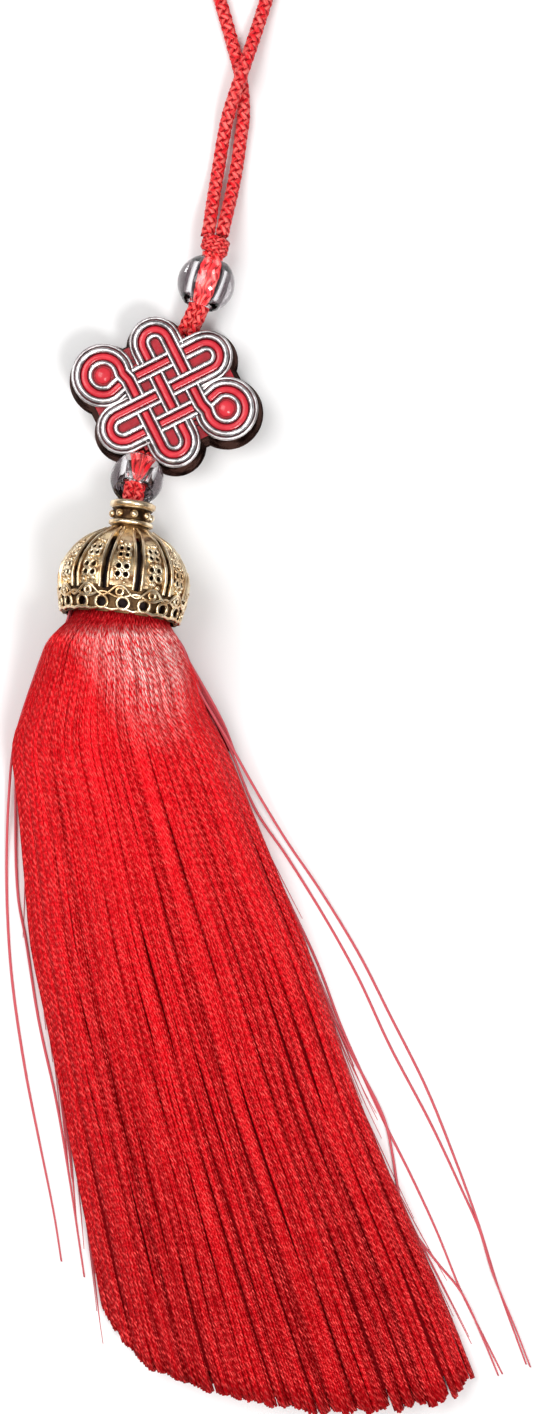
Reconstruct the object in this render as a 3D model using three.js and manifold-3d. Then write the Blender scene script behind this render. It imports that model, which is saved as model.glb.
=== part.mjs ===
// Chinese knot tassel, lying on a table: a braided hanging loop, a stopper knot, two glass
// beads with an endless-knot charm between them, a pierced crown cap and a silk skirt.
// Millimetres, +Z up. The origin is on the table, under the middle of all but the loop.
import * as THREE from 'three';
import { mergeVertices } from 'three/addons/utils/BufferGeometryUtils.js';
import Module from 'manifold-3d';

const wasm = await Module();
wasm.setup();

// Driving sizes
const CORD = { diameter: 1.5, sides: 8, steps: 40, legDiameter: 1.41, legSteps: 20 };
const KNOT = { diameter: 3.5, length: 2.7, flatness: 0.8, wraps: 3, grooveShare: 0.84, sides: 12 };
const UPPER_BEAD = { diameter: 7.0, length: 5.9, bore: 3.6 };
const LOWER_BEAD = { diameter: 6.4, length: 4.9, bore: 3.6 };
const BEAD_FACETS = { round: 16, along: 8 };
const CHARM = {
  pitch: 3.25, bandWidth: 1.8, railWidth: 0.5, faceHeight: 5.2, railHeight: 5.85,
  archReachTall: 5.7, archReachWide: 5.1, loopRadius: 2.3, loopX: 1.85, loopY: 2.5,
  rimWidth: 0.15, draft: 1.1, webHalf: 5.2, webHeight: 3.8, turn: -63.4,
  channelWidth: 3.9, channelHeight: 2.4, channelAt: 2.6, channelLength: 30, railSunk: 0.2,
};
const CAP = {
  height: 14.1, segments: 28, boreRadius: 1.8,
  slots: 12, slotWidth: 0.65, cutReach: 6, slotLow: 2.5, slotHigh: 10.3, slotFrom: 3.4, slotTurn: 16,
  rings: 18, ringHoleRadius: 0.42, ringHoleHeight: 0.9, scallopRadius: 0.45, scallopHeight: -0.15,
  ringTurn: 15,
};
const HEAD = { low: 3.0, shoulder: 6.2, top: 7.9, radius: 6.2, topRadius: 4.5 };
const SKIRT = {
  columns: 28, sideRows: 1, extraRows: 3.4, gap: 0.17, rowGap: 0.36, sideShare: 0.22,
  strayWidth: 0.45, ragged: 0.9,
};

// Places on the table
const KNOT_AT = new THREE.Vector3(-6.7, 70.0, 3.4);
const UPPER_BEAD_AT = new THREE.Vector3(-7.8, 65.3, 3.65);
const CHARM_AT = new THREE.Vector3(-12.75, 52.2, 0);
const LOWER_BEAD_AT = new THREE.Vector3(-16.05, 41.75, 5.0);
const RIM_AT = new THREE.Vector3(-18.0, 24.5, 8.5);
const NECK_TOP_AT = new THREE.Vector3(-16.4, 38.6, 7.3);
const UPPER_RUN = new THREE.Vector3(0.31, 0.95, 0).normalize();
const KNOT_RUN = new THREE.Vector3(0.25, 0.95, -0.05).normalize();
const LOWER_RUN = new THREE.Vector3(0.17, 0.8, -0.57).normalize();
const CAP_RUN = NECK_TOP_AT.clone().sub(RIM_AT).normalize();

// The loop's route: up the left leg, over the crossing, round and back down the right leg
const LOOP_ROUTE = [
  [-7.45, 72.1, 2.95], [-7.2, 74.2, 2.25], [-6.8, 77.0, 1.4], [-6.3, 80.1, 1.0], [-5.75, 83.4, 1.2],
  [-5.1, 86.2, 1.9], [-3.55, 90.8, 2.5], [-2.0, 95.6, 1.5], [-0.5, 100.4, 0.85], [1.4, 106.0, 0.8],
  [3.5, 112.5, 0.8], [5.3, 119.0, 0.8], [5.6, 125.0, 0.8], [3.9, 130.6, 0.8], [0.9, 134.2, 0.8],
  [-2.9, 135.6, 0.8], [-6.7, 134.2, 0.8], [-9.7, 130.6, 0.8], [-11.4, 125.0, 0.8], [-11.1, 119.0, 0.8],
  [-9.5, 112.5, 0.8], [-7.7, 106.0, 0.8], [-6.15, 100.4, 0.8], [-4.8, 95.6, 0.8], [-3.6, 90.8, 0.8],
  [-3.3, 86.2, 0.8], [-3.65, 83.4, 0.8], [-4.1, 80.1, 0.8], [-4.65, 77.0, 1.3], [-5.25, 74.2, 2.2],
  [-5.7, 72.1, 2.95],
];

// The two legs' route: beads, charm channel, lower bead and the cap's neck, down to the head
const STEM_ROUTE = [
  [-6.9, 68.2, 3.62], [-7.8, 65.3, 3.65], [-8.7, 62.4, 3.6], [-9.45, 60.8, 3.1], [-10.25, 59.3, 2.7],
  [-12.75, 52.2, 2.6], [-15.05, 45.4, 2.65], [-15.55, 43.9, 3.35], [-16.05, 41.75, 5.0],
  [-16.4, 39.9, 6.45], [-16.5, 38.4, 7.2], [-16.65, 36.8, 7.4], [-17.0, 33.3, 7.75],
];

// The skirt's sections across Y: its edges, the middle of its height, its height, and how far
// it has gone from the round bundle in the cap (0) to a low mound that lies on the table (1)
const SECTIONS = [
  { y: 30.0, left: -22.6, right: -12.2, middle: 8.1, height: 10.8, lying: 0 },
  { y: 23.3, left: -23.3, right: -12.9, middle: 8.5, height: 11.4, lying: 0 },
  { y: 21.8, left: -25.2, right: -11.1, middle: 8.5, height: 13.4, lying: 0.1 },
  { y: 17.2, left: -28.5, right: -8.8, middle: 7.3, height: 13.8, lying: 0.6 },
  { y: 9.5, left: -31.2, right: -5.7, middle: 6.1, height: 12.2, lying: 1 },
  { y: -15.0, left: -29.1, right: 4.2, middle: 4.3, height: 8.6, lying: 1 },
  { y: -34.0, left: -25.3, right: 10.8, middle: 3.7, height: 7.3, lying: 1 },
  { y: -60.0, left: -20.3, right: 21.7, middle: 3.0, height: 5.9, lying: 1 },
  { y: -72.0, left: -17.5, right: 26.4, middle: 2.5, height: 5.0, lying: 1 },
];
// Where the cut ends reach, from the left edge (-1) to the right edge (1)
const CUT_ENDS = [
  { across: -1, y: -59.0 }, { across: -0.93, y: -63.0 }, { across: -0.8, y: -66.2 }, { across: -0.5, y: -68.6 },
  { across: -0.2, y: -70.2 }, { across: 0.1, y: -71.4 }, { across: 0.5, y: -70.9 }, { across: 0.8, y: -70.2 },
  { across: 1, y: -67.4 },
];
// Stray threads beside the skirt, from the head out to the table
const STRAYS = [
  [[-11.8, 30, 9.6], [-12.4, 23.3, 9.9], [-10.4, 21.8, 9.7], [-8.2, 17.2, 7.0], [-5.2, 9.5, 4.6],
    [3.6, -7.2, 1.5], [10.9, -18.8, 0.3], [18.3, -34.1, 0], [25.3, -49.4, 0], [28.3, -58.6, 0],
    [31.9, -67.4, 0]],
  [[-11.8, 30, 8.0], [-12.4, 23.3, 8.3], [-10.4, 21.8, 7.8], [-8.2, 17.2, 4.6], [-5.0, 9.5, 2.2],
    [-0.6, 0.2, 0.8], [4.2, -9.6, 0], [9.4, -20.0, 0], [15.4, -30.4, 0], [20.8, -40.8, 0],
    [24.2, -48.8, 0]],
  [[-11.8, 30, 6.4], [-12.4, 23.3, 6.7], [-10.4, 21.8, 5.8], [-8.0, 17.2, 1.9], [-5.0, 9.5, 0],
    [-1.5, 0.6, 0], [4.4, -12.1, 0], [8.1, -22.3, 0], [14.2, -36.2, 0], [22.6, -55.7, 0],
    [28.6, -67.4, 0]],
  [[-23.0, 30, 8.9], [-23.9, 23.3, 9.1], [-25.9, 21.8, 9.0], [-29.1, 17.2, 6.2], [-31.9, 9.5, 2.6],
    [-32.5, -1.0, 0.4], [-32.5, -10.3, 0], [-30.7, -26.2, 0], [-27.8, -42.7, 0], [-25.8, -53.2, 0]],
  [[-23.0, 30, 7.2], [-23.9, 23.3, 7.0], [-25.9, 21.8, 6.6], [-29.1, 17.2, 3.4], [-31.8, 9.5, 0.4],
    [-31.6, -1.0, 0], [-30.6, -15.0, 0], [-27.5, -32.6, 0], [-24.8, -42.7, 0], [-22.7, -56.6, 0]],
];

const COLOURS = {
  cord: new THREE.MeshStandardMaterial({ color: 0xd61f2c, roughness: 0.75, metalness: 0 }),
  silk: new THREE.MeshStandardMaterial({ color: 0xc8101c, roughness: 0.45, metalness: 0 }),
  glass: new THREE.MeshStandardMaterial({ color: 0xdfe6ea, roughness: 0.05, metalness: 0 }),
  alloy: new THREE.MeshStandardMaterial({ color: 0xb9b4b2, roughness: 0.35, metalness: 1 }),
  gold: new THREE.MeshStandardMaterial({ color: 0xb99a5a, roughness: 0.38, metalness: 1 }),
};

// Solids and booleans
function toSolid(geometry) {
  const bare = geometry.clone();
  bare.deleteAttribute('normal');
  bare.deleteAttribute('uv');
  const merged = mergeVertices(bare, 1e-5);
  const triangles = [];
  for (let i = 0; i < merged.index.count; i += 3) {
    const [a, b, c] = [0, 1, 2].map((k) => merged.index.getX(i + k));
    if (a !== b && b !== c && c !== a) triangles.push(a, b, c);
  }
  return new wasm.Manifold(new wasm.Mesh({
    numProp: 3,
    vertProperties: Float32Array.from(merged.attributes.position.array),
    triVerts: Uint32Array.from(triangles),
  }));
}

function toGeometry(solid) {
  const mesh = solid.getMesh();
  const geometry = new THREE.BufferGeometry();
  geometry.setAttribute('position', new THREE.BufferAttribute(Float32Array.from(mesh.vertProperties), 3));
  geometry.setIndex(Array.from(mesh.triVerts));
  geometry.computeVertexNormals();
  return geometry;
}

function joined(geometries) {
  return geometries.map(toSolid).reduce((whole, piece) => whole.add(piece));
}

function piece(name, solid, material) {
  const mesh = new THREE.Mesh(toGeometry(solid), material);
  mesh.name = name;
  return mesh;
}

// A solid turned about its own Y axis is stood at a place with that axis along a direction
function standAlong(mesh, place, direction) {
  mesh.position.copy(place);
  mesh.quaternion.setFromUnitVectors(new THREE.Vector3(0, 1, 0), direction);
  return mesh;
}

// Cords
function roundSection(radius, sides) {
  const points = [];
  for (let i = 0; i < sides; i += 1) {
    const angle = (i / sides) * 2 * Math.PI;
    points.push(new THREE.Vector2(radius * Math.cos(angle), radius * Math.sin(angle)));
  }
  return new THREE.Shape(points);
}

// Two legs side by side make one section, two cords wide
function doubleSection(radius) {
  const points = [];
  const sectors = CORD.sides / 2;
  for (const side of [1, -1]) {
    for (let i = 0; i <= sectors; i += 1) {
      const angle = (i / sectors) * Math.PI;
      const [x, y] = [radius * Math.cos(angle), radius * (1 + Math.sin(angle))];
      points.push(new THREE.Vector2(side * x, side * y));
    }
  }
  return new THREE.Shape(points);
}

function alongRoute(section, route, steps) {
  const points = route.map((point) => new THREE.Vector3(...point));
  const curve = new THREE.CatmullRomCurve3(points, false, 'centripetal');
  return new THREE.ExtrudeGeometry(section, { steps, extrudePath: curve, bevelEnabled: false });
}

function loopCord() {
  const tube = alongRoute(roundSection(CORD.diameter / 2, CORD.sides), LOOP_ROUTE, CORD.steps);
  return piece('loop_cord', toSolid(tube), COLOURS.cord);
}

function stemCord() {
  const legs = alongRoute(doubleSection(CORD.legDiameter / 2), STEM_ROUTE, CORD.legSteps);
  return piece('stem_cord', toSolid(legs), COLOURS.cord);
}

// Three tight wraps round both legs
function stopperKnot() {
  const radius = KNOT.diameter / 2;
  const wrapLength = KNOT.length / KNOT.wraps;
  const profile = [new THREE.Vector2(0, -KNOT.length / 2)];
  for (let i = 0; i < KNOT.wraps; i += 1) {
    const start = -KNOT.length / 2 + i * wrapLength;
    profile.push(new THREE.Vector2(KNOT.grooveShare * radius, start));
    profile.push(new THREE.Vector2(radius, start + wrapLength / 2));
  }
  profile.push(new THREE.Vector2(KNOT.grooveShare * radius, KNOT.length / 2));
  profile.push(new THREE.Vector2(0, KNOT.length / 2));
  const barrel = new THREE.LatheGeometry(profile, KNOT.sides).scale(1, 1, KNOT.flatness);
  return standAlong(piece('stopper_knot', toSolid(barrel), COLOURS.cord), KNOT_AT, KNOT_RUN);
}

// Beads
function bead(name, size, place, direction) {
  const radius = size.diameter / 2;
  const bore = size.bore / 2;
  const sectors = BEAD_FACETS.along;
  const edge = Math.asin(bore / radius);
  const profile = [];
  for (let i = 0; i <= sectors; i += 1) {
    const angle = -Math.PI / 2 + edge + (i / sectors) * (Math.PI - 2 * edge);
    const along = (Math.sin(angle) / Math.cos(edge)) * size.length / 2;
    profile.push(new THREE.Vector2(radius * Math.cos(angle), along));
  }
  profile.push(profile[0].clone());
  const ring = new THREE.LatheGeometry(profile, BEAD_FACETS.round);
  return standAlong(piece(name, toSolid(ring), COLOURS.glass), place, direction);
}

// Charm: a drafted plate in the outline of the knot, with raised rails along its bands
function draftedPrism(outline, low, high, draft) {
  const shape = new THREE.Shape(outline(0));
  const prism = new THREE.ExtrudeGeometry(shape, { depth: 1, bevelEnabled: false });
  const wide = outline(draft);
  const narrow = outline(0);
  const position = prism.attributes.position;
  for (let i = 0; i < position.count; i += 1) {
    const index = narrow.findIndex((p) => Math.hypot(p.x - position.getX(i), p.y - position.getY(i)) < 1e-5);
    const atTop = position.getZ(i) > 0.5;
    const point = atTop ? narrow[index] : wide[index];
    position.setXYZ(i, point.x, point.y, atTop ? high : low);
  }
  return prism;
}

function squareOutline(half) {
  return (extra) => [[-1, -1], [1, -1], [1, 1], [-1, 1]]
    .map(([x, y]) => new THREE.Vector2(x * (half + extra), y * (half + extra)));
}

function discOutline(x, y, radius, sides = 20) {
  return (extra) => Array.from({ length: sides }, (_, i) => {
    const angle = (i / sides) * 2 * Math.PI;
    return new THREE.Vector2(x + (radius + extra) * Math.cos(angle), y + (radius + extra) * Math.sin(angle));
  });
}

// A lobe with a round end, from the lattice out to its reach, turned about the charm's middle
function lobeOutline(offset, reach, radius, turn) {
  return (extra) => {
    const points = [new THREE.Vector2(offset - radius - extra, 0), new THREE.Vector2(offset + radius + extra, 0)];
    const sectors = 8;
    for (let i = 0; i <= sectors; i += 1) {
      const angle = (i / sectors) * Math.PI;
      const x = offset + (radius + extra) * Math.cos(angle);
      points.push(new THREE.Vector2(x, reach - radius + (radius + extra) * Math.sin(angle)));
    }
    return points.map((p) => p.rotateAround(new THREE.Vector2(), turn));
  };
}

// A band's middle line is built from straight runs and arcs
function arcPoints(x, y, radius, from, to, sectors) {
  return Array.from({ length: sectors + 1 }, (_, i) => {
    const angle = THREE.MathUtils.degToRad(from + (i / sectors) * (to - from));
    return new THREE.Vector2(x + radius * Math.cos(angle), y + radius * Math.sin(angle));
  });
}

function rail(line, inner, outer) {
  const normals = line.map((point, i) => {
    const before = line[Math.max(i - 1, 0)];
    const after = line[Math.min(i + 1, line.length - 1)];
    const run = after.clone().sub(before).normalize();
    return new THREE.Vector2(-run.y, run.x);
  });
  const side = (offset) => line.map((point, i) => point.clone().addScaledVector(normals[i], offset));
  const outline = [...side(inner), ...side(outer).reverse()];
  if (THREE.ShapeUtils.area(outline) < 0) outline.reverse();
  const depth = CHARM.railHeight - CHARM.faceHeight + CHARM.railSunk;
  const strip = new THREE.ExtrudeGeometry(new THREE.Shape(outline), { depth, bevelEnabled: false });
  return strip.translate(0, 0, CHARM.faceHeight - CHARM.railSunk);
}

// Half of the knot's runs; the other half is the same, turned by half a turn
function knotRuns() {
  const p = CHARM.pitch;
  const half = CHARM.bandWidth / 2;
  const archRadius = p / 2;
  const tall = p + CHARM.archReachTall - half - archRadius;
  const wide = p + CHARM.archReachWide - half - archRadius;
  const loop = CHARM.loopRadius;
  const at = (x, y) => new THREE.Vector2(x, y);
  return [
    [at(-p, p + half), ...arcPoints(-archRadius, tall, archRadius, 180, 0, 6), at(0, half)],
    [at(-p, p - half), at(-p, half - p)],
    [at(p, p + half), ...arcPoints(p + CHARM.loopX, p + CHARM.loopY, loop, 180, -110, 12), at(p, p),
      at(half, p)],
    [at(-half, p), ...arcPoints(-wide, archRadius, archRadius, 90, 270, 6), at(-p - half, 0)],
  ];
}

function charm() {
  const { pitch, bandWidth, rimWidth, faceHeight, draft, railWidth } = CHARM;
  const half = bandWidth / 2;
  const lobeRadius = pitch / 2 + half + rimWidth;
  const plates = [
    draftedPrism(squareOutline(pitch + half + rimWidth), 0, faceHeight, draft),
    draftedPrism(squareOutline(CHARM.webHalf), 0, CHARM.webHeight, draft),
  ];
  for (const turn of [0, Math.PI]) {
    const side = Math.cos(turn);
    const loop = discOutline(side * (pitch + CHARM.loopX), side * (pitch + CHARM.loopY),
      CHARM.loopRadius + half + rimWidth);
    plates.push(draftedPrism(lobeOutline(-pitch / 2, pitch + CHARM.archReachTall + rimWidth, lobeRadius, turn),
      0, faceHeight, draft));
    plates.push(draftedPrism(lobeOutline(pitch / 2, pitch + CHARM.archReachWide + rimWidth, lobeRadius,
      turn + Math.PI / 2), 0, faceHeight, draft));
    plates.push(draftedPrism(loop, 0, faceHeight, draft));
  }
  const rails = [];
  for (const line of knotRuns()) {
    for (const side of [1, -1]) {
      const strip = rail(line, side * (half - railWidth), side * half);
      rails.push(strip, strip.clone().rotateZ(Math.PI));
    }
  }
  const middle = [new THREE.Vector2(-pitch + half, 0), new THREE.Vector2(pitch - half, 0)];
  for (const side of [1, -1]) rails.push(rail(middle, side * (half - railWidth), side * half));
  const channel = new THREE.BoxGeometry(CHARM.channelWidth, CHARM.channelLength, CHARM.channelHeight);
  channel.rotateZ(Math.PI / 4).translate(0, 0, CHARM.channelAt);
  const mesh = piece('charm', joined([...plates, ...rails]).subtract(toSolid(channel)), COLOURS.alloy);
  mesh.position.copy(CHARM_AT);
  mesh.rotation.z = THREE.MathUtils.degToRad(CHARM.turn);
  return mesh;
}

// Cap: a thin turned dome with a collared neck, pierced by long slots and a row of rim holes
function rimCutter(radius, height, angle) {
  const peg = new THREE.CylinderGeometry(radius, radius, CAP.cutReach, 6);
  return peg.rotateZ(Math.PI / 2).translate(CAP.slotFrom + CAP.cutReach / 2, height, 0).rotateY(angle);
}

function cap() {
  const outer = [
    [7.1, 0], [7.5, 1.9], [7.87, 4.2], [7.7, 5.6], [7.15, 6.8], [6.3, 8.1], [5.15, 9.3], [3.05, 10.5],
    [2.3, 11.1], [2.45, 11.6], [2.15, 11.9], [2.15, 12.9], [2.45, 13.2], [2.3, CAP.height],
  ];
  const inner = [
    [CAP.boreRadius, CAP.height], [CAP.boreRadius, 10.2], [4.6, 8.8], [6.3, 6.9], [7.15, 4.3], [6.5, 0],
  ];
  const profile = [...outer, ...inner, outer[0]].map(([radius, height]) => new THREE.Vector2(radius, height));
  const cutters = [];
  for (let i = 0; i < CAP.slots; i += 1) {
    const slot = new THREE.BoxGeometry(CAP.cutReach, CAP.slotHigh - CAP.slotLow, CAP.slotWidth);
    slot.translate(CAP.slotFrom + CAP.cutReach / 2, (CAP.slotHigh + CAP.slotLow) / 2, 0);
    cutters.push(slot.rotateY((i / CAP.slots) * 2 * Math.PI + THREE.MathUtils.degToRad(CAP.slotTurn)));
  }
  for (let i = 0; i < CAP.rings; i += 1) {
    const angle = (i / CAP.rings) * 2 * Math.PI + THREE.MathUtils.degToRad(CAP.ringTurn);
    cutters.push(rimCutter(CAP.ringHoleRadius, CAP.ringHoleHeight, angle));
    cutters.push(rimCutter(CAP.scallopRadius, CAP.scallopHeight, angle + Math.PI / CAP.rings));
  }
  const shell = cutters.reduce((rest, cutter) => rest.subtract(toSolid(cutter)),
    toSolid(new THREE.LatheGeometry(profile, CAP.segments)));
  return standAlong(piece('cap', shell, COLOURS.gold), RIM_AT, CAP_RUN);
}

// Skirt: strands in rows and columns, fused at their roots into the head inside the cap
function valueAt(rows, key, value, name) {
  const rising = rows[rows.length - 1][key] > rows[0][key];
  const inside = rows.findIndex((row, i) => i > 0 && (rising ? value <= row[key] : value >= row[key]));
  const upper = inside < 0 ? rows.length - 1 : inside;
  const [a, b] = [rows[upper - 1], rows[upper]];
  return a[name] + ((value - a[key]) / (b[key] - a[key])) * (b[name] - a[name]);
}

// A place in the skirt's section: across from -1 to 1, up from 0 to 1
function placeInSkirt(across, up, y) {
  const at = (name) => valueAt(SECTIONS, 'y', y, name);
  const [left, right, middle, height, lying] = ['left', 'right', 'middle', 'height', 'lying'].map(at);
  const share = SKIRT.sideShare + (1 - SKIRT.sideShare) * Math.sqrt(Math.max(0, 1 - across * across));
  const round = middle + (up - 0.5) * height * share;
  const mound = up * height * share;
  const x = (left + right) / 2 + across * (right - left) / 2;
  return new THREE.Vector3(x, y, round + lying * (mound - round));
}

function headShape() {
  const profile = [
    [0, HEAD.low], [HEAD.radius, HEAD.low], [HEAD.radius, HEAD.shoulder], [HEAD.topRadius, HEAD.top], [0, HEAD.top],
  ].map(([radius, height]) => new THREE.Vector2(radius, height));
  const drum = new THREE.LatheGeometry(profile, 24);
  const turn = new THREE.Quaternion().setFromUnitVectors(new THREE.Vector3(0, 1, 0), CAP_RUN);
  return drum.applyMatrix4(new THREE.Matrix4().compose(RIM_AT, turn, new THREE.Vector3(1, 1, 1)));
}

function strand(column, row, rowCount, endY) {
  const stations = [...SECTIONS.slice(0, -1).map((section) => section.y), endY];
  const lock = new THREE.BoxGeometry(1, 1, stations.length - 1, 1, 1, stations.length - 1);
  const position = lock.attributes.position;
  const columnAt = (edge) => -1 + (2 * edge) / SKIRT.columns;
  for (let i = 0; i < position.count; i += 1) {
    const sideways = Math.sign(position.getX(i));
    const upward = Math.sign(position.getY(i));
    const y = stations[Math.round(position.getZ(i) + (stations.length - 1) / 2)];
    const across = columnAt(column + (sideways + 1) / 2);
    const level = (row + (upward + 1) / 2) / rowCount;
    const corner = placeInSkirt(across, level, y);
    corner.x -= sideways * SKIRT.gap / 2;
    if (upward > 0 || row > 0) corner.z -= upward * SKIRT.rowGap / 2;
    position.setXYZ(i, corner.x, corner.y, corner.z);
  }
  return lock;
}

function strayThread(points) {
  const thread = new THREE.BoxGeometry(1, 1, points.length - 1, 1, 1, points.length - 1);
  const position = thread.attributes.position;
  for (let i = 0; i < position.count; i += 1) {
    const [x, y, z] = points[Math.round(position.getZ(i) + (points.length - 1) / 2)];
    const sideways = Math.sign(position.getX(i)) * SKIRT.strayWidth / 2;
    const upward = (Math.sign(position.getY(i)) + 1) / 2 * SKIRT.strayWidth;
    position.setXYZ(i, x + sideways, y, z + upward);
  }
  return thread;
}

function tasselSkirt() {
  const locks = [];
  for (let column = 0; column < SKIRT.columns; column += 1) {
    const across = -1 + (2 * column + 1) / SKIRT.columns;
    const fullness = Math.sqrt(1 - across * across);
    const rowCount = Math.floor(SKIRT.sideRows + SKIRT.extraRows * fullness);
    const cut = valueAt(CUT_ENDS, 'across', across, 'y');
    for (let row = 0; row < rowCount; row += 1) {
      const shorter = SKIRT.ragged * Math.abs(Math.sin(2.3 * column + 4.1 * row));
      locks.push(strand(column, row, rowCount, cut + shorter));
    }
  }
  return piece('tassel_skirt', joined([headShape(), ...locks, ...STRAYS.map(strayThread)]), COLOURS.silk);
}

const tassel = new THREE.Group();
tassel.add(loopCord(), stopperKnot(), stemCord());
tassel.add(bead('upper_bead', UPPER_BEAD, UPPER_BEAD_AT, UPPER_RUN));
tassel.add(charm());
tassel.add(bead('lower_bead', LOWER_BEAD, LOWER_BEAD_AT, LOWER_RUN));
tassel.add(cap(), tasselSkirt());

export default tassel;
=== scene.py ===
import math

import bpy
import numpy as np
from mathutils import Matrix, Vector


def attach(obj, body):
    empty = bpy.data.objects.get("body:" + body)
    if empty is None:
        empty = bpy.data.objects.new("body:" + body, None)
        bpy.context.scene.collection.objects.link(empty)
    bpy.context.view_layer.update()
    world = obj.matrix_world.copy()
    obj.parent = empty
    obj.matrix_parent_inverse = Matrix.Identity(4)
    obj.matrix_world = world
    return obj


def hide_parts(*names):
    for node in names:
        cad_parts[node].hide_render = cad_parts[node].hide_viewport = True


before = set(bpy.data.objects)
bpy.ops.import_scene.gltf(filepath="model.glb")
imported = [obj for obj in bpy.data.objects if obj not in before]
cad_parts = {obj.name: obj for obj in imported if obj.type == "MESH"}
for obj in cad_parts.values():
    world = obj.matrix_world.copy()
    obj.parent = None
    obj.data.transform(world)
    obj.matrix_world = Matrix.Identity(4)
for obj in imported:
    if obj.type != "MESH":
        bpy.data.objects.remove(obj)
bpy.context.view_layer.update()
bpy.ops.object.select_all(action="DESELECT")

# Camera: straight above the table, as the photograph was taken, with the tassel's length
# upright in the frame.
bpy.ops.object.camera_add(location=(0, 0.014, 0.320), rotation=(0, 0, 0))
camera = bpy.context.object
camera.data.lens = 66.5
camera.data.clip_start = 0.01
bpy.context.scene.camera = camera

# Hanging loop: one round cord of eight carriers of red polyester, braided over and under
# each other round a core. Both its ends go into the stopper knot.
MM = 0.001
LOOP_ROUTE = [
    (-7.7, 71.2, 3.15), (-7.45, 72.1, 2.95), (-7.2, 74.2, 2.25), (-6.8, 77.0, 1.4),
    (-6.3, 80.1, 1.0), (-5.75, 83.4, 1.2), (-5.1, 86.2, 1.9), (-3.55, 90.8, 2.5),
    (-2.0, 95.6, 1.5), (-0.5, 100.4, 0.85), (1.4, 106.0, 0.8), (3.5, 112.5, 0.8),
    (5.3, 119.0, 0.8), (5.6, 125.0, 0.8), (3.9, 130.6, 0.8), (0.9, 134.2, 0.8),
    (-2.9, 135.6, 0.8), (-6.7, 134.2, 0.8), (-9.7, 130.6, 0.8), (-11.4, 125.0, 0.8),
    (-11.1, 119.0, 0.8), (-9.5, 112.5, 0.8), (-7.7, 106.0, 0.8), (-6.15, 100.4, 0.8),
    (-4.8, 95.6, 0.8), (-3.6, 90.8, 0.8), (-3.3, 86.2, 0.8), (-3.65, 83.4, 0.8),
    (-4.1, 80.1, 0.8), (-4.65, 77.0, 1.3), (-5.25, 74.2, 2.2), (-5.7, 72.1, 2.95),
    (-5.85, 71.2, 3.15),
]
CORD_RADIUS = 0.86
BRAID_ROW = 0.62
STEPS_A_ROW = 4
# Of the cord's radius: a carrier's half width, its half thickness and its swing in and out,
# and the radius of the core that it lies on.
CARRIER_WIDE, CARRIER_THICK, CARRIER_SWING, CORE_SHARE = 0.47, 0.22, 0.11, 0.62
EACH_WAY = 4
CORD_DARK, CORD_BRIGHT = (0.72, 0.004, 0.010), (1.0, 0.014, 0.024)
# The gleam is a painted glint on the carriers, and the edge colour is painted shade in the grooves
# between them.
CORD_PAINTED_GLINT, CORD_GROOVE_SHADE = (1.0, 0.40, 0.33), (0.36, 0.003, 0.008)
CORE_RED = (0.34, 0.003, 0.007)
# Where the flecks and the strand's edge let the painted glint show, and how much of it.
GLEAM_FLECKS, GLEAM_EDGES, GLEAM_SHARE = (0.40, 0.58), (0.95, 0.30), 0.42


def through(points, steps):
    """Centripetal Catmull-Rom lines through the points, with the same steps in each span."""
    points = np.asarray(points, float)
    before = 2 * points[..., :1, :] - points[..., 1:2, :]
    after = 2 * points[..., -1:, :] - points[..., -2:-1, :]
    p = np.concatenate([before, points, after], axis=-2)
    gaps = np.linalg.norm(np.diff(p, axis=-2), axis=-1) ** 0.5
    zero = np.zeros_like(gaps[..., :1])
    knots = np.concatenate([zero, np.cumsum(gaps, axis=-1)], axis=-1)
    spans = []
    for i in range(1, p.shape[-2] - 2):
        p0, p1, p2, p3 = (p[..., None, i + k, :] for k in (-1, 0, 1, 2))
        t0, t1, t2, t3 = (knots[..., None, i + k, None] for k in (-1, 0, 1, 2))
        t = t1 + (t2 - t1) * (np.arange(steps) / steps)[:, None]
        a1 = ((t1 - t) * p0 + (t - t0) * p1) / (t1 - t0)
        a2 = ((t2 - t) * p1 + (t - t1) * p2) / (t2 - t1)
        a3 = ((t3 - t) * p2 + (t - t2) * p3) / (t3 - t2)
        b1 = ((t2 - t) * a1 + (t - t0) * a2) / (t2 - t0)
        b2 = ((t3 - t) * a2 + (t - t1) * a3) / (t3 - t1)
        spans.append(((t2 - t) * b1 + (t - t1) * b2) / (t2 - t1))
    return np.concatenate([*spans, points[..., -1:, :]], axis=-2)


def evenly(line, spacing):
    """The same line, with its points a spacing apart."""
    along = np.concatenate([[0], np.cumsum(np.linalg.norm(np.diff(line, axis=0), axis=1))])
    stations = np.linspace(0, along[-1], round(along[-1] / spacing) + 1)
    return np.column_stack([np.interp(stations, along, line[:, k]) for k in range(3)])


def unit(vectors):
    """The same directions, one long."""
    return vectors / np.linalg.norm(vectors, axis=-1, keepdims=True)


def added(name, data):
    """A new object in the scene, with this mesh or curve."""
    piece = bpy.data.objects.new(name, data)
    bpy.context.scene.collection.objects.link(piece)
    return piece


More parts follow.
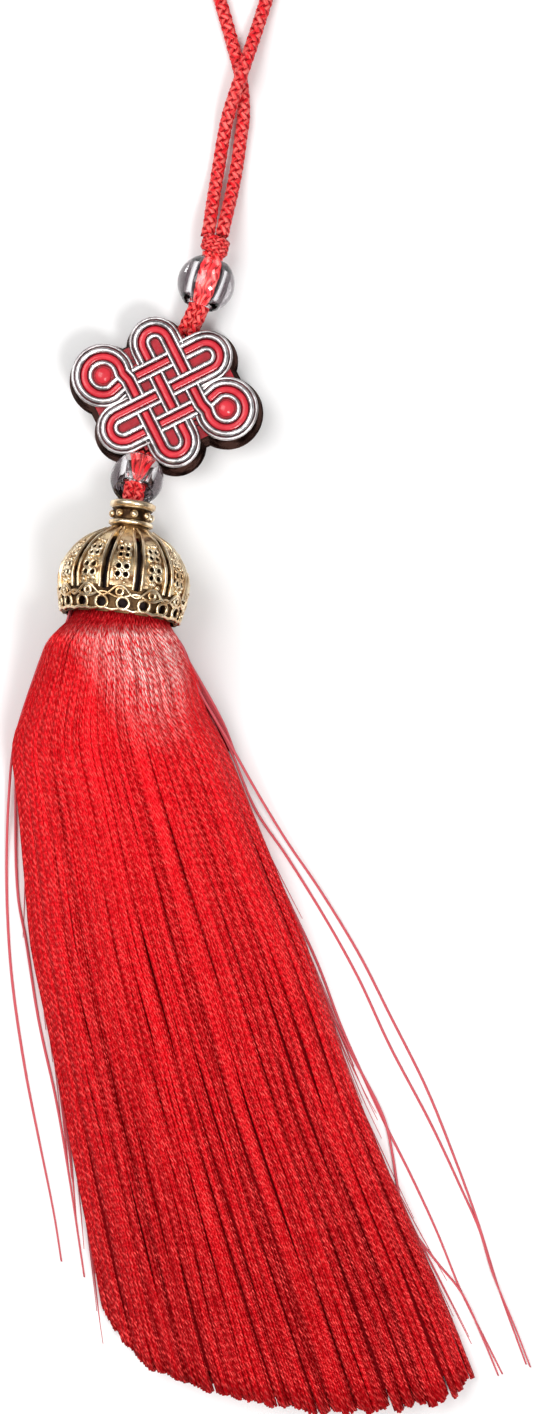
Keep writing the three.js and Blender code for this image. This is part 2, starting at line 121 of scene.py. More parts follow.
def strands(name, centres, wide, half_wide, half_deep, sides, tones, girth=None):
    """One mesh of strands in millimetres, with an oval section, a map of (turn, millimetres
    along) and a tone for each strand."""
    count, steps, _ = centres.shape
    run = unit(np.gradient(centres, axis=1))
    wide = unit(wide - np.sum(wide * run, axis=-1, keepdims=True) * run)
    deep = np.cross(run, wide)
    turn = 2 * math.pi * np.arange(sides) / sides
    girth = np.ones((count, steps)) if girth is None else girth
    oval_wide = (girth[:, :, None] * half_wide * np.cos(turn))[..., None] * wide[:, :, None]
    oval_deep = (girth[:, :, None] * half_deep * np.sin(turn))[..., None] * deep[:, :, None]
    rings = centres[:, :, None] + oval_wide + oval_deep
    index = np.arange(count * steps * sides).reshape(count, steps, sides)
    ahead = np.roll(index, -1, axis=2)
    quads = np.stack([index[:, :-1], ahead[:, :-1], ahead[:, 1:], index[:, 1:]], axis=-1)
    ends = np.concatenate([index[:, 0, ::-1], index[:, -1]])
    mesh = bpy.data.meshes.new(name)
    faces = quads.reshape(-1, 4).tolist() + ends.tolist()
    mesh.from_pydata((rings.reshape(-1, 3) * MM).tolist(), [], faces)
    step = np.linalg.norm(np.diff(centres, axis=1), axis=-1)
    along = np.concatenate([np.zeros((count, 1)), np.cumsum(step, axis=1)], axis=1)
    u = np.arange(sides) / sides
    uv = np.empty((count, steps - 1, sides, 4, 2))
    uv[..., 0, 0] = uv[..., 3, 0] = u
    uv[..., 1, 0] = uv[..., 2, 0] = u + 1 / sides
    uv[..., 0, 1] = uv[..., 1, 1] = along[:, :-1, None]
    uv[..., 2, 1] = uv[..., 3, 1] = along[:, 1:, None]
    loops = np.concatenate([uv.reshape(-1, 2), np.zeros((2 * count * sides, 2))])
    mesh.uv_layers.new(name="strand").data.foreach_set("uv", loops.ravel())
    tone = mesh.attributes.new("tone", "FLOAT", "POINT")
    tone.data.foreach_set("value", np.repeat(tones, steps * sides))
    mesh.polygons.foreach_set("use_smooth", np.ones(len(mesh.polygons), bool))
    mesh.update()
    return added(name, mesh)


def braided_cord(name, line, radius, across=(0, 0, 1)):
    """Four carriers turn one way and four the other, over and under at each row, on a core.
    The line has the same number of steps in each row."""
    run = unit(np.gradient(line, axis=0))
    side = unit(np.cross(run, across))
    up = np.cross(side, run)
    rows = np.linspace(0, round(len(line) / STEPS_A_ROW), len(line))
    centres, wide = [], []
    thick, swing = CARRIER_THICK * radius, CARRIER_SWING * radius
    for sense in (1, -1):
        for start in range(EACH_WAY):
            angle = (sense * rows + 2 * start + 1)[:, None] * math.pi / EACH_WAY
            out = radius - thick - swing + sense * swing * np.cos(math.pi * rows)[:, None]
            centres.append(line + out * (np.cos(angle) * up + np.sin(angle) * side))
            wide.append(-np.sin(angle) * up + np.cos(angle) * side)
    carriers = strands(name, np.array(centres), np.array(wide), CARRIER_WIDE * radius, thick, 6,
                       np.linspace(0.2, 0.8, 2 * EACH_WAY))
    core_radius = CORE_SHARE * radius
    core = strands(name + "_core", line[None, ::STEPS_A_ROW], side[None, ::STEPS_A_ROW],
                   core_radius, core_radius, 8, np.zeros(1))
    for part, material in ((carriers, cord_material), (core, core_material)):
        part.data.materials.append(material)
    return joined([carriers, core])


def joined(pieces):
    """The pieces made one mesh, under the first one's name."""
    bpy.ops.object.select_all(action="DESELECT")
    for part in pieces:
        part.select_set(True)
    bpy.context.view_layer.objects.active = pieces[0]
    bpy.ops.object.join()
    bpy.ops.object.select_all(action="DESELECT")
    return pieces[0]


def new_material(name, colour, roughness, metallic=0.0, specular=0.5):
    """A Principled material with its node tree and shader, to be dressed by its section."""
    material = bpy.data.materials.new(name)
    material.use_nodes = True
    shader = material.node_tree.nodes["Principled BSDF"]
    shader.inputs["Base Color"].default_value = (*colour, 1)
    shader.inputs["Roughness"].default_value = roughness
    shader.inputs["Metallic"].default_value = metallic
    shader.inputs["Specular IOR Level"].default_value = specular
    return material, material.node_tree, shader


def maths(tree, operation, *values):
    """A Math node whose inputs are sockets or numbers."""
    node = tree.nodes.new("ShaderNodeMath")
    node.operation = operation
    for socket, value in zip(node.inputs, values):
        if isinstance(value, (int, float)):
            socket.default_value = value
        else:
            tree.links.new(value, socket)
    return node.outputs[0]


def blended(tree, factor, low, high):
    """A colour between two, each a socket or an RGB triple."""
    node = tree.nodes.new("ShaderNodeMix")
    node.data_type = "RGBA"
    tree.links.new(factor, node.inputs["Factor"])
    for socket, value in ((node.inputs[6], low), (node.inputs[7], high)):
        if isinstance(value, tuple):
            socket.default_value = (*value, 1)
        else:
            tree.links.new(value, socket)
    return node.outputs[2]


def ramped(tree, value, limits, unit=1.0):
    """A value spread out so that it is 0 at the first limit and 1 at the second."""
    spread = tree.nodes.new("ShaderNodeMapRange")
    tree.links.new(value, spread.inputs["Value"])
    spread.inputs["From Min"].default_value = limits[0] * unit
    spread.inputs["From Max"].default_value = limits[1] * unit
    return spread.outputs[0]


def placed(tree):
    """The x, y and z of the shaded point, in metres."""
    split = tree.nodes.new("ShaderNodeSeparateXYZ")
    tree.links.new(tree.nodes.new("ShaderNodeTexCoord").outputs["Object"], split.inputs[0])
    return split.outputs


def raised(tree, shader, height, distance):
    """A height from 0 to 1 feeds the shader's normal, as a bump of so many millimetres."""
    bump = tree.nodes.new("ShaderNodeBump")
    bump.inputs["Distance"].default_value = distance * MM
    tree.links.new(height, bump.inputs["Height"])
    tree.links.new(bump.outputs["Normal"], shader.inputs["Normal"])


def new_group(name, inputs, outputs):
    """A node group with these sockets, all of them numbers."""
    group = bpy.data.node_groups.new(name, "ShaderNodeTree")
    for way, labels in (("INPUT", inputs), ("OUTPUT", outputs)):
        for label in labels:
            group.interface.new_socket(label, in_out=way, socket_type="NodeSocketFloat")
    return group


def with_group(tree, group, **values):
    """The outputs of a group put in a material with its own values."""
    node = tree.nodes.new("ShaderNodeGroup")
    node.node_tree = group
    for label, value in values.items():
        node.inputs[label].default_value = value
    return node.outputs


# The twisted filaments of a strand: Ridge is 1 on a crest and 0 in a groove, Edge is 1 at
# the two edges of the oval strand, Tone is the strand's own shade, and Fleck is a fine
# unevenness along it. Each strand's tone also shifts its pattern.
TONE_TURNS, TONE_FLECKS = 53.0, 977.0
tree = yarn_twist = new_group("yarn_twist", ["Ridges", "Pitch"], ["Ridge", "Edge", "Tone", "Fleck"])
given = tree.nodes.new("NodeGroupInput").outputs
result = tree.nodes.new("NodeGroupOutput").inputs
strand_map = tree.nodes.new("ShaderNodeUVMap")
strand_map.uv_map = "strand"
split = tree.nodes.new("ShaderNodeSeparateXYZ")
tree.links.new(strand_map.outputs[0], split.inputs[0])
tone = tree.nodes.new("ShaderNodeAttribute")
tone.attribute_name = "tone"
round_about = maths(tree, "MULTIPLY", split.outputs[0], given["Ridges"])
along = maths(tree, "DIVIDE", split.outputs[1], given["Pitch"])
turns = maths(tree, "ADD", round_about, along)
turns = maths(tree, "MULTIPLY_ADD", tone.outputs["Fac"], TONE_TURNS, turns)
crest = maths(tree, "COSINE", maths(tree, "MULTIPLY", turns, 2 * math.pi))
tree.links.new(maths(tree, "MULTIPLY_ADD", crest, 0.5, 0.5), result["Ridge"])
rim = maths(tree, "COSINE", maths(tree, "MULTIPLY", split.outputs[0], 2 * math.pi))
tree.links.new(maths(tree, "ABSOLUTE", rim), result["Edge"])
tree.links.new(tone.outputs["Fac"], result["Tone"])
fleck = tree.nodes.new("ShaderNodeTexNoise")
fleck.inputs["Scale"].default_value = 1.0
spread = tree.nodes.new("ShaderNodeCombineXYZ")
tree.links.new(maths(tree, "MULTIPLY", turns, 1.3), spread.inputs[0])
tree.links.new(maths(tree, "MULTIPLY", split.outputs[1], 0.9), spread.inputs[1])
tree.links.new(maths(tree, "MULTIPLY", tone.outputs["Fac"], TONE_FLECKS), spread.inputs[2])
tree.links.new(spread.outputs[0], fleck.inputs["Vector"])
tree.links.new(fleck.outputs["Fac"], result["Fleck"])

cord_material, tree, shader = new_material("braided_cord", (0.80, 0.02, 0.03), 0.45, specular=0.25)
yarn = with_group(tree, yarn_twist, Ridges=5.0, Pitch=2.5)
body = blended(tree, yarn["Tone"], CORD_DARK, CORD_BRIGHT)
# Painted glint: pink on the carriers' flecks, away from their edges.
painted_glint = maths(tree, "MULTIPLY", ramped(tree, yarn["Fleck"], GLEAM_FLECKS),
              ramped(tree, yarn["Edge"], GLEAM_EDGES))
lit = blended(tree, maths(tree, "MULTIPLY", painted_glint, GLEAM_SHARE), body, CORD_PAINTED_GLINT)
# Painted shade: the carriers darken towards their edges, where they meet in grooves.
edge = maths(tree, "POWER", yarn["Edge"], 4.0)
tree.links.new(blended(tree, edge, lit, CORD_GROOVE_SHADE), shader.inputs["Base Color"])
raised(tree, shader, yarn["Ridge"], 0.05)
core_material, *_ = new_material("cord_core", CORE_RED, 0.9, specular=0.05)

loop_line = evenly(through(LOOP_ROUTE, 16), BRAID_ROW / STEPS_A_ROW)
loop = braided_cord("loop_braid", loop_line, CORD_RADIUS)
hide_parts("loop_cord")
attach(loop, "root")

# Stopper knot: the cord wrapped tightly three times round both legs, so that the upper bead
# can't slide up the loop.
KNOT_AT = np.array((-6.7, 70.0, 3.4))
KNOT_RUN = unit(np.array((0.25, 0.95, -0.05)))
KNOT_WRAPS = 3
KNOT_LENGTH = 2.7
KNOT_HALF_WIDE = 1.75
KNOT_HALF_TALL = 1.4
WRAP_RADIUS = 0.5
WRAP_ROW = 0.42
WRAP_START = 0.2

knot_side = unit(np.cross(KNOT_RUN, (0, 0, 1)))
knot_up = np.cross(knot_side, KNOT_RUN)
turn = np.linspace(-WRAP_START, KNOT_WRAPS - WRAP_START, 240)[:, None]
along_knot = ((turn + WRAP_START) / KNOT_WRAPS - 0.5) * (KNOT_LENGTH - 2 * WRAP_RADIUS)
angle = 2 * math.pi * turn
wraps_line = (KNOT_AT + along_knot * KNOT_RUN
              + (KNOT_HALF_WIDE - WRAP_RADIUS) * np.cos(angle) * knot_side
              + (KNOT_HALF_TALL - WRAP_RADIUS) * np.sin(angle) * knot_up)
wraps_line = evenly(wraps_line, WRAP_ROW / STEPS_A_ROW)
knot = braided_cord("knot_wraps", wraps_line, WRAP_RADIUS, KNOT_RUN)
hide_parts("stopper_knot")
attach(knot, "root")

# Stem: the cord's two legs side by side, down through the upper bead, the charm's channel,
# the lower bead and the cap's neck, to the head of the skirt.
STEM_ROUTE = [
    (-7.0, 69.0, 3.5), (-7.1, 68.2, 3.62), (-7.8, 65.3, 3.65), (-8.7, 62.4, 3.6),
    (-9.45, 60.8, 3.1), (-10.25, 59.3, 2.7), (-12.75, 52.2, 2.6), (-15.05, 45.4, 2.65),
    (-15.55, 43.9, 3.35), (-16.05, 41.75, 5.0), (-16.4, 39.9, 6.45), (-16.5, 38.4, 7.2),
    (-16.65, 36.8, 7.4), (-17.0, 33.3, 7.75),
]
LEG_RADIUS = 0.70
LEG_APART = 0.62

stem_line = evenly(through(STEM_ROUTE, 16), BRAID_ROW / STEPS_A_ROW)
stem_side = unit(np.cross(unit(np.gradient(stem_line, axis=0)), (0, 0, 1)))
stem = joined([
    braided_cord("stem_braid", stem_line - LEG_APART * stem_side, LEG_RADIUS),
    braided_cord("right_leg", stem_line + LEG_APART * stem_side, LEG_RADIUS),
])
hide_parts("stem_cord")
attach(stem, "root")

# Beads: two rings of clear glass with wide bores, threaded on the stem. The upper one lies on
# the table, and the lower one leans between the charm and the cap's neck.
BEAD_BORE = 1.8
BORE_WALL = 1.74
BEAD_LIP = 0.25
UPPER_BEAD = {
    "radius": 3.5, "length": 5.9, "end_angle": math.acos(BEAD_BORE / 3.5),
    "at": (-7.8, 65.3, 3.65), "run": (0.31, 0.95, 0),
}
LOWER_BEAD = {
    "radius": 3.2, "length": 4.3, "end_angle": 0.72,
    "at": (-16.10, 41.51, 5.17), "run": (0.17, 0.8, -0.57),
}
# The glass is painted dark below a plane through the beads' middles, as a painted reflection of
# dark surroundings, and clear above it. The plane falls by this much for each millimetre
# towards the loop.
MIDDLE_FALL = 0.058
DARK_TO_CLEAR = (6.86, 8.12)
GLASS_PAINTED_DARK, GLASS_CLEAR = (0.030, 0.019, 0.023), (0.96, 0.94, 0.96)


def turned(name, profile, segments):
    """A closed profile of (radius, height) in millimetres, spun about the Y axis."""
    mesh = bpy.data.meshes.new(name)
    edges = [(i, (i + 1) % len(profile)) for i in range(len(profile))]
    mesh.from_pydata([(r * MM, h * MM, 0) for r, h in profile], edges, [])
    piece = added(name, mesh)
    bpy.context.view_layer.objects.active = piece
    piece.select_set(True)
    bpy.ops.object.mode_set(mode="EDIT")
    bpy.ops.mesh.select_all(action="SELECT")
    bpy.ops.mesh.spin(steps=segments, angle=2 * math.pi, center=(0, 0, 0), axis=(0, 1, 0))
    bpy.ops.mesh.select_all(action="SELECT")
    bpy.ops.mesh.remove_doubles(threshold=0.002 * MM)
    bpy.ops.mesh.normals_make_consistent(inside=False)
    bpy.ops.object.mode_set(mode="OBJECT")
    bpy.ops.object.shade_smooth_by_angle(angle=math.radians(35))
    piece.select_set(False)
    return piece


def settled(piece):
    """The piece with its place, turn and size taken into its mesh."""
    bpy.ops.object.select_all(action="DESELECT")
    piece.select_set(True)
    bpy.context.view_layer.objects.active = piece
    bpy.ops.object.transform_apply(location=True, rotation=True, scale=True)
    piece.select_set(False)
    return piece


def stood(piece, place, direction):
    """The piece, made about the Y axis, turned to a direction and moved to its place."""
    piece.rotation_mode = "QUATERNION"
    piece.rotation_quaternion = Vector((0, 1, 0)).rotation_difference(Vector(direction))
    piece.location = Vector(place) * MM
    return settled(piece)


glass, tree, shader = new_material("clear_glass", (0.46, 0.41, 0.46), 0.03)
spot = placed(tree)
level = maths(tree, "MULTIPLY_ADD", spot[1], MIDDLE_FALL, spot[2])
upward = ramped(tree, level, DARK_TO_CLEAR, MM)
# Painted reflection: the glass is dark below the plane and clear above it.
painted_reflection = blended(tree, upward, GLASS_PAINTED_DARK, GLASS_CLEAR)
tree.links.new(painted_reflection, shader.inputs["Base Color"])
shader.inputs["Transmission Weight"].default_value = 1.0
shader.inputs["IOR"].default_value = 1.52

for name, node, bead in (("bead_above_charm", "upper_bead", UPPER_BEAD),
                         ("bead_below_charm", "lower_bead", LOWER_BEAD)):
    tall = bead["length"] / 2 / math.sin(bead["end_angle"])
    round_side = np.linspace(-bead["end_angle"], bead["end_angle"], 25)
    profile = [(bead["radius"] * math.cos(a), tall * math.sin(a)) for a in round_side]
    lip = bead["length"] / 2 - BEAD_LIP
    profile += [(BORE_WALL, lip), (BORE_WALL, -lip)]
    ring = stood(turned(name, profile, 64), bead["at"], bead["run"])
    ring.data.materials.append(glass)
    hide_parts(node)
    ring.visible_shadow = False
    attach(ring, "root")

# Charm: a cast alloy plate in the outline of a pan chang knot, threaded on the stem. Silvered
# rails edge its bands, and red enamel fills the bands, the hollows between them and the two
# domed eyes in the corner loops.
CHARM_AT = (-12.75, 51.95, 0)
CHARM_TURN = math.radians(-63.4)
PITCH = 3.25
HALF_BAND = 0.9
RIM = 0.42
FACE = 5.2
DRAFT = 0.83
PLATE_BEVEL = 0.13
WEB_HALF, WEB_HEIGHT = 5.2, 4.5
REACH_TALL, REACH_WIDE = 5.7, 5.1
ARCH_RADIUS = PITCH / 2
ARCH_TALL = PITCH + REACH_TALL - HALF_BAND - ARCH_RADIUS
ARCH_WIDE = PITCH + REACH_WIDE - HALF_BAND - ARCH_RADIUS
LOOP_X, LOOP_Y, LOOP_RADIUS = 1.85, 2.5, 2.3
RAIL_OFFSET = 0.78
RAIL_HALF, RAIL_RISE, RAIL_FOOT = 0.36, 0.60, 0.08
BEZEL_OFFSET = 1.36
BEZEL_HALF, BEZEL_RISE = 0.2, 0.3
ENAMEL_HALF, ENAMEL_RISE, ENAMEL_FOOT = 0.44, 0.16, 0.05
EYE_RADIUS, EYE_RISE = 1.0, 0.5
# The lobes and the two webs of one half of the plate: shape, x, y, half its size in x and in
# y, and height.
LOBE_HALF = ARCH_RADIUS + HALF_BAND + RIM
CORNER_HALF = LOOP_RADIUS + HALF_BAND + RIM
HALF_PLATE = [
    ("drum", -ARCH_RADIUS, ARCH_TALL, LOBE_HALF, LOBE_HALF, FACE),
    ("box", -ARCH_RADIUS, ARCH_TALL / 2, LOBE_HALF, ARCH_TALL / 2, FACE),
    ("drum", -ARCH_WIDE, ARCH_RADIUS, LOBE_HALF, LOBE_HALF, FACE),
    ("box", -ARCH_WIDE / 2, ARCH_RADIUS, ARCH_WIDE / 2, LOBE_HALF, FACE),
    ("drum", PITCH + LOOP_X, PITCH + LOOP_Y, CORNER_HALF, CORNER_HALF, FACE),
    ("box", 1.7, 6.6, 0.9, 1.7, 4.75),
    ("box", 6.1, 1.75, 0.8, 0.8, 4.1),
]
# The enamel's colours at its foot and on its crest: painted shade and painted highlight.
ENAMEL_HOLLOW_SHADE = (0.16, 0.0, 0.006), (0.62, 0.008, 0.024)
ENAMEL_CREST_LIT = (0.50, 0.005, 0.018), (0.84, 0.05, 0.07)
RAIL_SILVER, RAIL_DULL = (0.94, 0.89, 0.895), (0.40, 0.40, 0.40)
FOOT_DARK, RAIL_GREY = (0.09, 0.09, 0.105), (0.47, 0.38, 0.39)
# The rails are greyer towards the middle of the charm, between these distances from it.
SILVER_TO_GREY, GREY_SHARE = (8.0, 3.0), 0.7


def drafted_block(shape, x, y, half_x, half_y, high):
    """A box or a drum whose sides lean outwards down to the table."""
    middle = (x * MM, y * MM, high / 2 * MM)
    if shape == "drum":
        bpy.ops.mesh.primitive_cylinder_add(vertices=56, radius=1, depth=2, location=middle)
    else:
        bpy.ops.mesh.primitive_cube_add(size=2, location=middle)
    block = bpy.context.object
    block.scale = (half_x * MM, half_y * MM, high / 2 * MM)
    bpy.ops.object.transform_apply(location=True, rotation=True, scale=True)
    bpy.ops.object.mode_set(mode="EDIT")
    bpy.ops.mesh.select_mode(type="VERT")
    bpy.ops.mesh.select_all(action="DESELECT")
    bpy.ops.object.mode_set(mode="OBJECT")
    for vertex in block.data.vertices:
        vertex.select = vertex.co.z < 1e-6
    bpy.ops.object.mode_set(mode="EDIT")
    bpy.ops.transform.resize(value=((half_x + DRAFT) / half_x, (half_y + DRAFT) / half_y, 1),
                             center_override=(middle[0], middle[1], 0))
    bpy.ops.object.mode_set(mode="OBJECT")
    block.select_set(False)
    return block


def with_modifier(piece, kind, **values):
    """A modifier added to the piece with these values, and applied."""
    modifier = piece.modifiers.new(kind.lower(), kind)
    for key, value in values.items():
        setattr(modifier, key, value)
    bpy.context.view_layer.objects.active = piece
    bpy.ops.object.modifier_apply(modifier=modifier.name)
    return piece


def arc(x, y, radius, start, end, count):
    """Points round a centre, from one angle to another in degrees."""
    return [(x + radius * math.cos(math.radians(a)), y + radius * math.sin(math.radians(a)))
            for a in np.linspace(start, end, count)]


square = PITCH + HALF_BAND + RIM
plate = drafted_block("box", 0, 0, square, square, FACE)
blocks = [drafted_block("box", 0, 0, WEB_HALF, WEB_HALF, WEB_HEIGHT)]
for side in (1, -1):
    blocks += [drafted_block(shape, side * x, side * y, *sizes) for shape, x, y, *sizes in HALF_PLATE]
for block in blocks:
    with_modifier(plate, "BOOLEAN", object=block, operation="UNION", solver="EXACT")
    bpy.data.objects.remove(block)
with_modifier(plate, "BEVEL", width=PLATE_BEVEL * MM, segments=2, limit_method="ANGLE",
              angle_limit=math.radians(38))


def knot_runs():
    """The middle lines of the bands, each ending where it goes under another."""
    p, h = PITCH, HALF_BAND
    half_knot = [
        [(-p, p + h), *arc(-ARCH_RADIUS, ARCH_TALL, ARCH_RADIUS, 180, 0, 13), (0, h)],
        [(-p, p - h), (-p, h - p)],
        [(p, p + h), *arc(p + LOOP_X, p + LOOP_Y, LOOP_RADIUS, 180, -110, 25), (p, p), (h, p)],
        [(-h, p), *arc(-ARCH_WIDE, ARCH_RADIUS, ARCH_RADIUS, 90, 270, 13), (-p - h, 0)],
    ]
    turned_half = [[(-x, -y) for x, y in run] for run in half_knot]
    return [*half_knot, *turned_half, [(-p + h, 0), (p - h, 0)]]


def rim_runs():
    """The outer edges of the six lobes, each with its outer side on its left."""
    p, h = PITCH, HALF_BAND
    half_rim = [
        [(-p, p + h), *arc(-ARCH_RADIUS, ARCH_TALL, ARCH_RADIUS, 180, 0, 13), (0, p + h)],
        [(p, p + h), *arc(p + LOOP_X, p + LOOP_Y, LOOP_RADIUS, 180, -110, 25)],
        [(-p - h, 0), *arc(-ARCH_WIDE, ARCH_RADIUS, ARCH_RADIUS, 270, 90, 13), (-p - h, p)],
    ]
    return half_rim + [[(-x, -y) for x, y in run] for run in half_rim]


def offset_line(run, distance):
    """The line beside a run, a distance to its left."""
    points = np.array(run, float)
    normal = unit(np.gradient(points, axis=0))[:, ::-1] * (-1, 1)
    return points + distance * normal


def wires(name, lines, radius, closed, resolution):
    """Round wires along lines of points in millimetres, in one mesh."""
    curve = bpy.data.curves.new(name, "CURVE")
    curve.dimensions = "3D"
    curve.bevel_depth = radius * MM
    curve.bevel_resolution = resolution
    curve.use_fill_caps = True
    for line in lines:
        spline = curve.splines.new("POLY")
        spline.points.add(len(line) - 1)
        for point, place in zip(spline.points, line):
            point.co = (*[x * MM for x in place], 1)
        spline.use_cyclic_u = closed
    piece = added(name, curve)
    piece.select_set(True)
    bpy.context.view_layer.objects.active = piece
    bpy.ops.object.convert(target="MESH")
    bpy.ops.object.shade_smooth()
    piece.select_set(False)
    return piece


def ridge(name, lines, half_wide, rise):
    """Rounded ridges on the plate's face, one along each line."""
    piece = wires(name, [[(x, y, 0) for x, y in line] for line in lines], half_wide, False, 2)
    piece.scale.z = rise / half_wide
    piece.location.z = FACE * MM
    return settled(piece)


eyes = []
for side in (1, -1):
    place = (side * (PITCH + LOOP_X) * MM, side * (PITCH + LOOP_Y) * MM, FACE * MM)
    bpy.ops.mesh.primitive_uv_sphere_add(segments=32, ring_count=16, radius=1, location=place)
    eye = bpy.context.object
    eye.scale = (EYE_RADIUS * MM, EYE_RADIUS * MM, EYE_RISE * MM)
    bpy.ops.object.transform_apply(location=True, rotation=True, scale=True)
    bpy.ops.object.shade_smooth()
    eye.select_set(False)
    eyes.append(eye)
runs = knot_runs()
rails = ridge("rails", [offset_line(run, side * RAIL_OFFSET) for run in runs for side in (1, -1)],
              RAIL_HALF, RAIL_RISE)
bezel = ridge("bezel", [offset_line(run, BEZEL_OFFSET) for run in rim_runs()], BEZEL_HALF, BEZEL_RISE)
bands = ridge("bands", [offset_line(run, 0) for run in runs], ENAMEL_HALF, ENAMEL_RISE)

# Wear on cast metal and enamel: Tarnish is uneven in blotches, and Grain is a fine roughness
# of the surface. Both inputs are how many of them there are to a metre.
tree = cast_wear = new_group("cast_wear", ["Blotches", "Grains"], ["Tarnish", "Grain"])
given = tree.nodes.new("NodeGroupInput").outputs
result = tree.nodes.new("NodeGroupOutput").inputs
coordinates = tree.nodes.new("ShaderNodeTexCoord")
for scale, detail, effect in (("Blotches", 4, "Tarnish"), ("Grains", 2, "Grain")):
    noise = tree.nodes.new("ShaderNodeTexNoise")
    noise.inputs["Detail"].default_value = detail
    tree.links.new(coordinates.outputs["Object"], noise.inputs["Vector"])
    tree.links.new(given[scale], noise.inputs["Scale"])
    tree.links.new(noise.outputs["Fac"], result[effect])


def metal(name, bright, dull, roughness, blotches, tarnish=(0.4, 0.62), grains=3500, grain=0.03):
    """Cast metal, bright where it is rubbed and dull in blotches, with its node tree, shader
    and colour for what is added to them."""
    material, tree, shader = new_material(name, bright, roughness, 1.0)
    worn = with_group(tree, cast_wear, Blotches=blotches, Grains=grains)
    colour = blended(tree, ramped(tree, worn["Tarnish"], tarnish), bright, dull)
    tree.links.new(colour, shader.inputs["Base Color"])
    raised(tree, shader, worn["Grain"], grain)
    return material, tree, shader, colour


rail_metal, tree, shader, silvered = metal("silvered_rail", RAIL_SILVER, RAIL_DULL, 0.3, 800,
                                           tarnish=(0.47, 0.62))
middle = tree.nodes.new("ShaderNodeVectorMath")
middle.operation = "DISTANCE"
tree.links.new(tree.nodes.new("ShaderNodeTexCoord").outputs["Object"], middle.inputs[0])
middle.inputs[1].default_value = (CHARM_AT[0] * MM, CHARM_AT[1] * MM, FACE * MM)
inward = ramped(tree, middle.outputs["Value"], SILVER_TO_GREY, MM)
inward = maths(tree, "MULTIPLY", inward, GREY_SHARE)
silvered = blended(tree, inward, silvered, RAIL_GREY)
# Painted shade and patina: the rails are dark at their foot and silver up to their crest.
rubbed = ramped(tree, placed(tree)[2], (FACE + RAIL_FOOT, FACE + RAIL_RISE), MM)
tree.links.new(blended(tree, rubbed, FOOT_DARK, silvered), shader.inputs["Base Color"])
wall_metal, _, shader, _ = metal("dull_wall", (0.17, 0.11, 0.095), (0.03, 0.016, 0.014), 0.45, 450)
shader.inputs["Specular Tint"].default_value = (0.16, 0.10, 0.09, 1)
bezel_metal, *_ = metal("grey_bezel", (0.76, 0.72, 0.72), (0.36, 0.32, 0.32), 0.35, 500)
enamel, tree, shader = new_material("red_enamel", (0.62, 0.015, 0.04), 0.22, specular=0.3)
worn = with_group(tree, cast_wear, Blotches=900, Grains=3500)
hollow = blended(tree, worn["Tarnish"], *ENAMEL_HOLLOW_SHADE)
crest = blended(tree, worn["Tarnish"], *ENAMEL_CREST_LIT)
# Painted shade and highlight: the enamel is dark at its foot and brighter red on its crest.
swell = ramped(tree, placed(tree)[2], (FACE + ENAMEL_FOOT, FACE + ENAMEL_RISE), MM)
tree.links.new(blended(tree, swell, hollow, crest), shader.inputs["Base Color"])
shader.inputs["Coat Weight"].default_value = 0.25
raised(tree, shader, worn["Grain"], 0.02)

rails.data.materials.append(rail_metal)
bezel.data.materials.append(bezel_metal)
bands.data.materials.append(enamel)
for eye in eyes:
    eye.data.materials.append(enamel)
plate.data.materials.append(wall_metal)
plate.data.materials.append(enamel)
for face in plate.data.polygons:
    face.material_index = 1 if face.normal.z > 0.9 else 0
charm = joined([plate, rails, bezel, bands, *eyes])
charm.name = charm.data.name = "knot_charm"
charm.rotation_euler.z = CHARM_TURN
charm.location = Vector(CHARM_AT) * MM
settled(charm)
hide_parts("charm")
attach(charm, "root")

# Cap: a thin cast crown of antique gold alloy, held over the skirt's head. Long slots and
# small florets pierce its dome, a vine runs over the row of rings at its rim, and balls sit
# between the two collars of its neck.
RIM_AT = np.array((-18.0, 24.5, 8.5))
NECK_TOP_AT = np.array((-16.4, 38.6, 7.3))
CAP_RUN = unit(NECK_TOP_AT - RIM_AT)
CAP_OUTER = [
    (7.1, 0), (7.5, 1.9), (7.87, 4.2), (7.7, 5.6), (7.15, 6.8), (6.3, 8.1), (5.15, 9.3), (3.05, 10.5),
    (2.3, 11.1), (2.45, 11.6), (2.15, 11.9), (2.15, 12.9), (2.45, 13.2), (2.3, 14.1),
]
CAP_INNER = [(1.8, 14.1), (1.8, 10.2), (4.6, 8.8), (6.3, 6.9), (7.15, 4.3), (6.5, 0)]
# A sleeve inside the dome, dark with painted shade, which shows through its slots and holes.
SLEEVE_OUTER = [(6.35, 0.5), (6.55, 4.2), (6.4, 5.6), (5.6, 7.2), (4.2, 8.4), (2.0, 9.3)]
SLEEVE_INNER = [(1.9, 9.1), (4.0, 8.2), (5.4, 7.0), (6.2, 5.5), (6.35, 4.2), (6.2, 0.5)]
SLOTS, SLOT_FIRST = 12, 16.0
RINGS, RING_FIRST = 18, 5.0
SHELL_SINK = 0.22
CUTTER_OUT, CUTTER_DEPTH = 6.4, 6.0
SLOT_WIDE, SLOT_LONG, SLOT_DEEP, SLOT_MIDDLE = 0.62, 7.6, 6.4, 6.4
SLOT_HALF, SLOT_TAPER = 0.5, 0.3
EDGE_LOW, EDGE_HIGH, EDGE_NARROWS = 2.75, 10.55, 9.6
# Each floret: its height, how far its four holes are from its middle, and a hole's radius.
FLORETS = [(7.2, 0.55, 0.28), (4.9, 0.68, 0.34)]
PETAL_RIM = 0.1
PANEL_RING_HEIGHT, PANEL_RING_RADIUS = 2.35, 0.42
RING_HEIGHT, RING_HOLE, RING_RADIUS = 1.05, 0.54, 0.73
SCALLOP_HEIGHT, SCALLOP_RADIUS = -0.15, 0.42
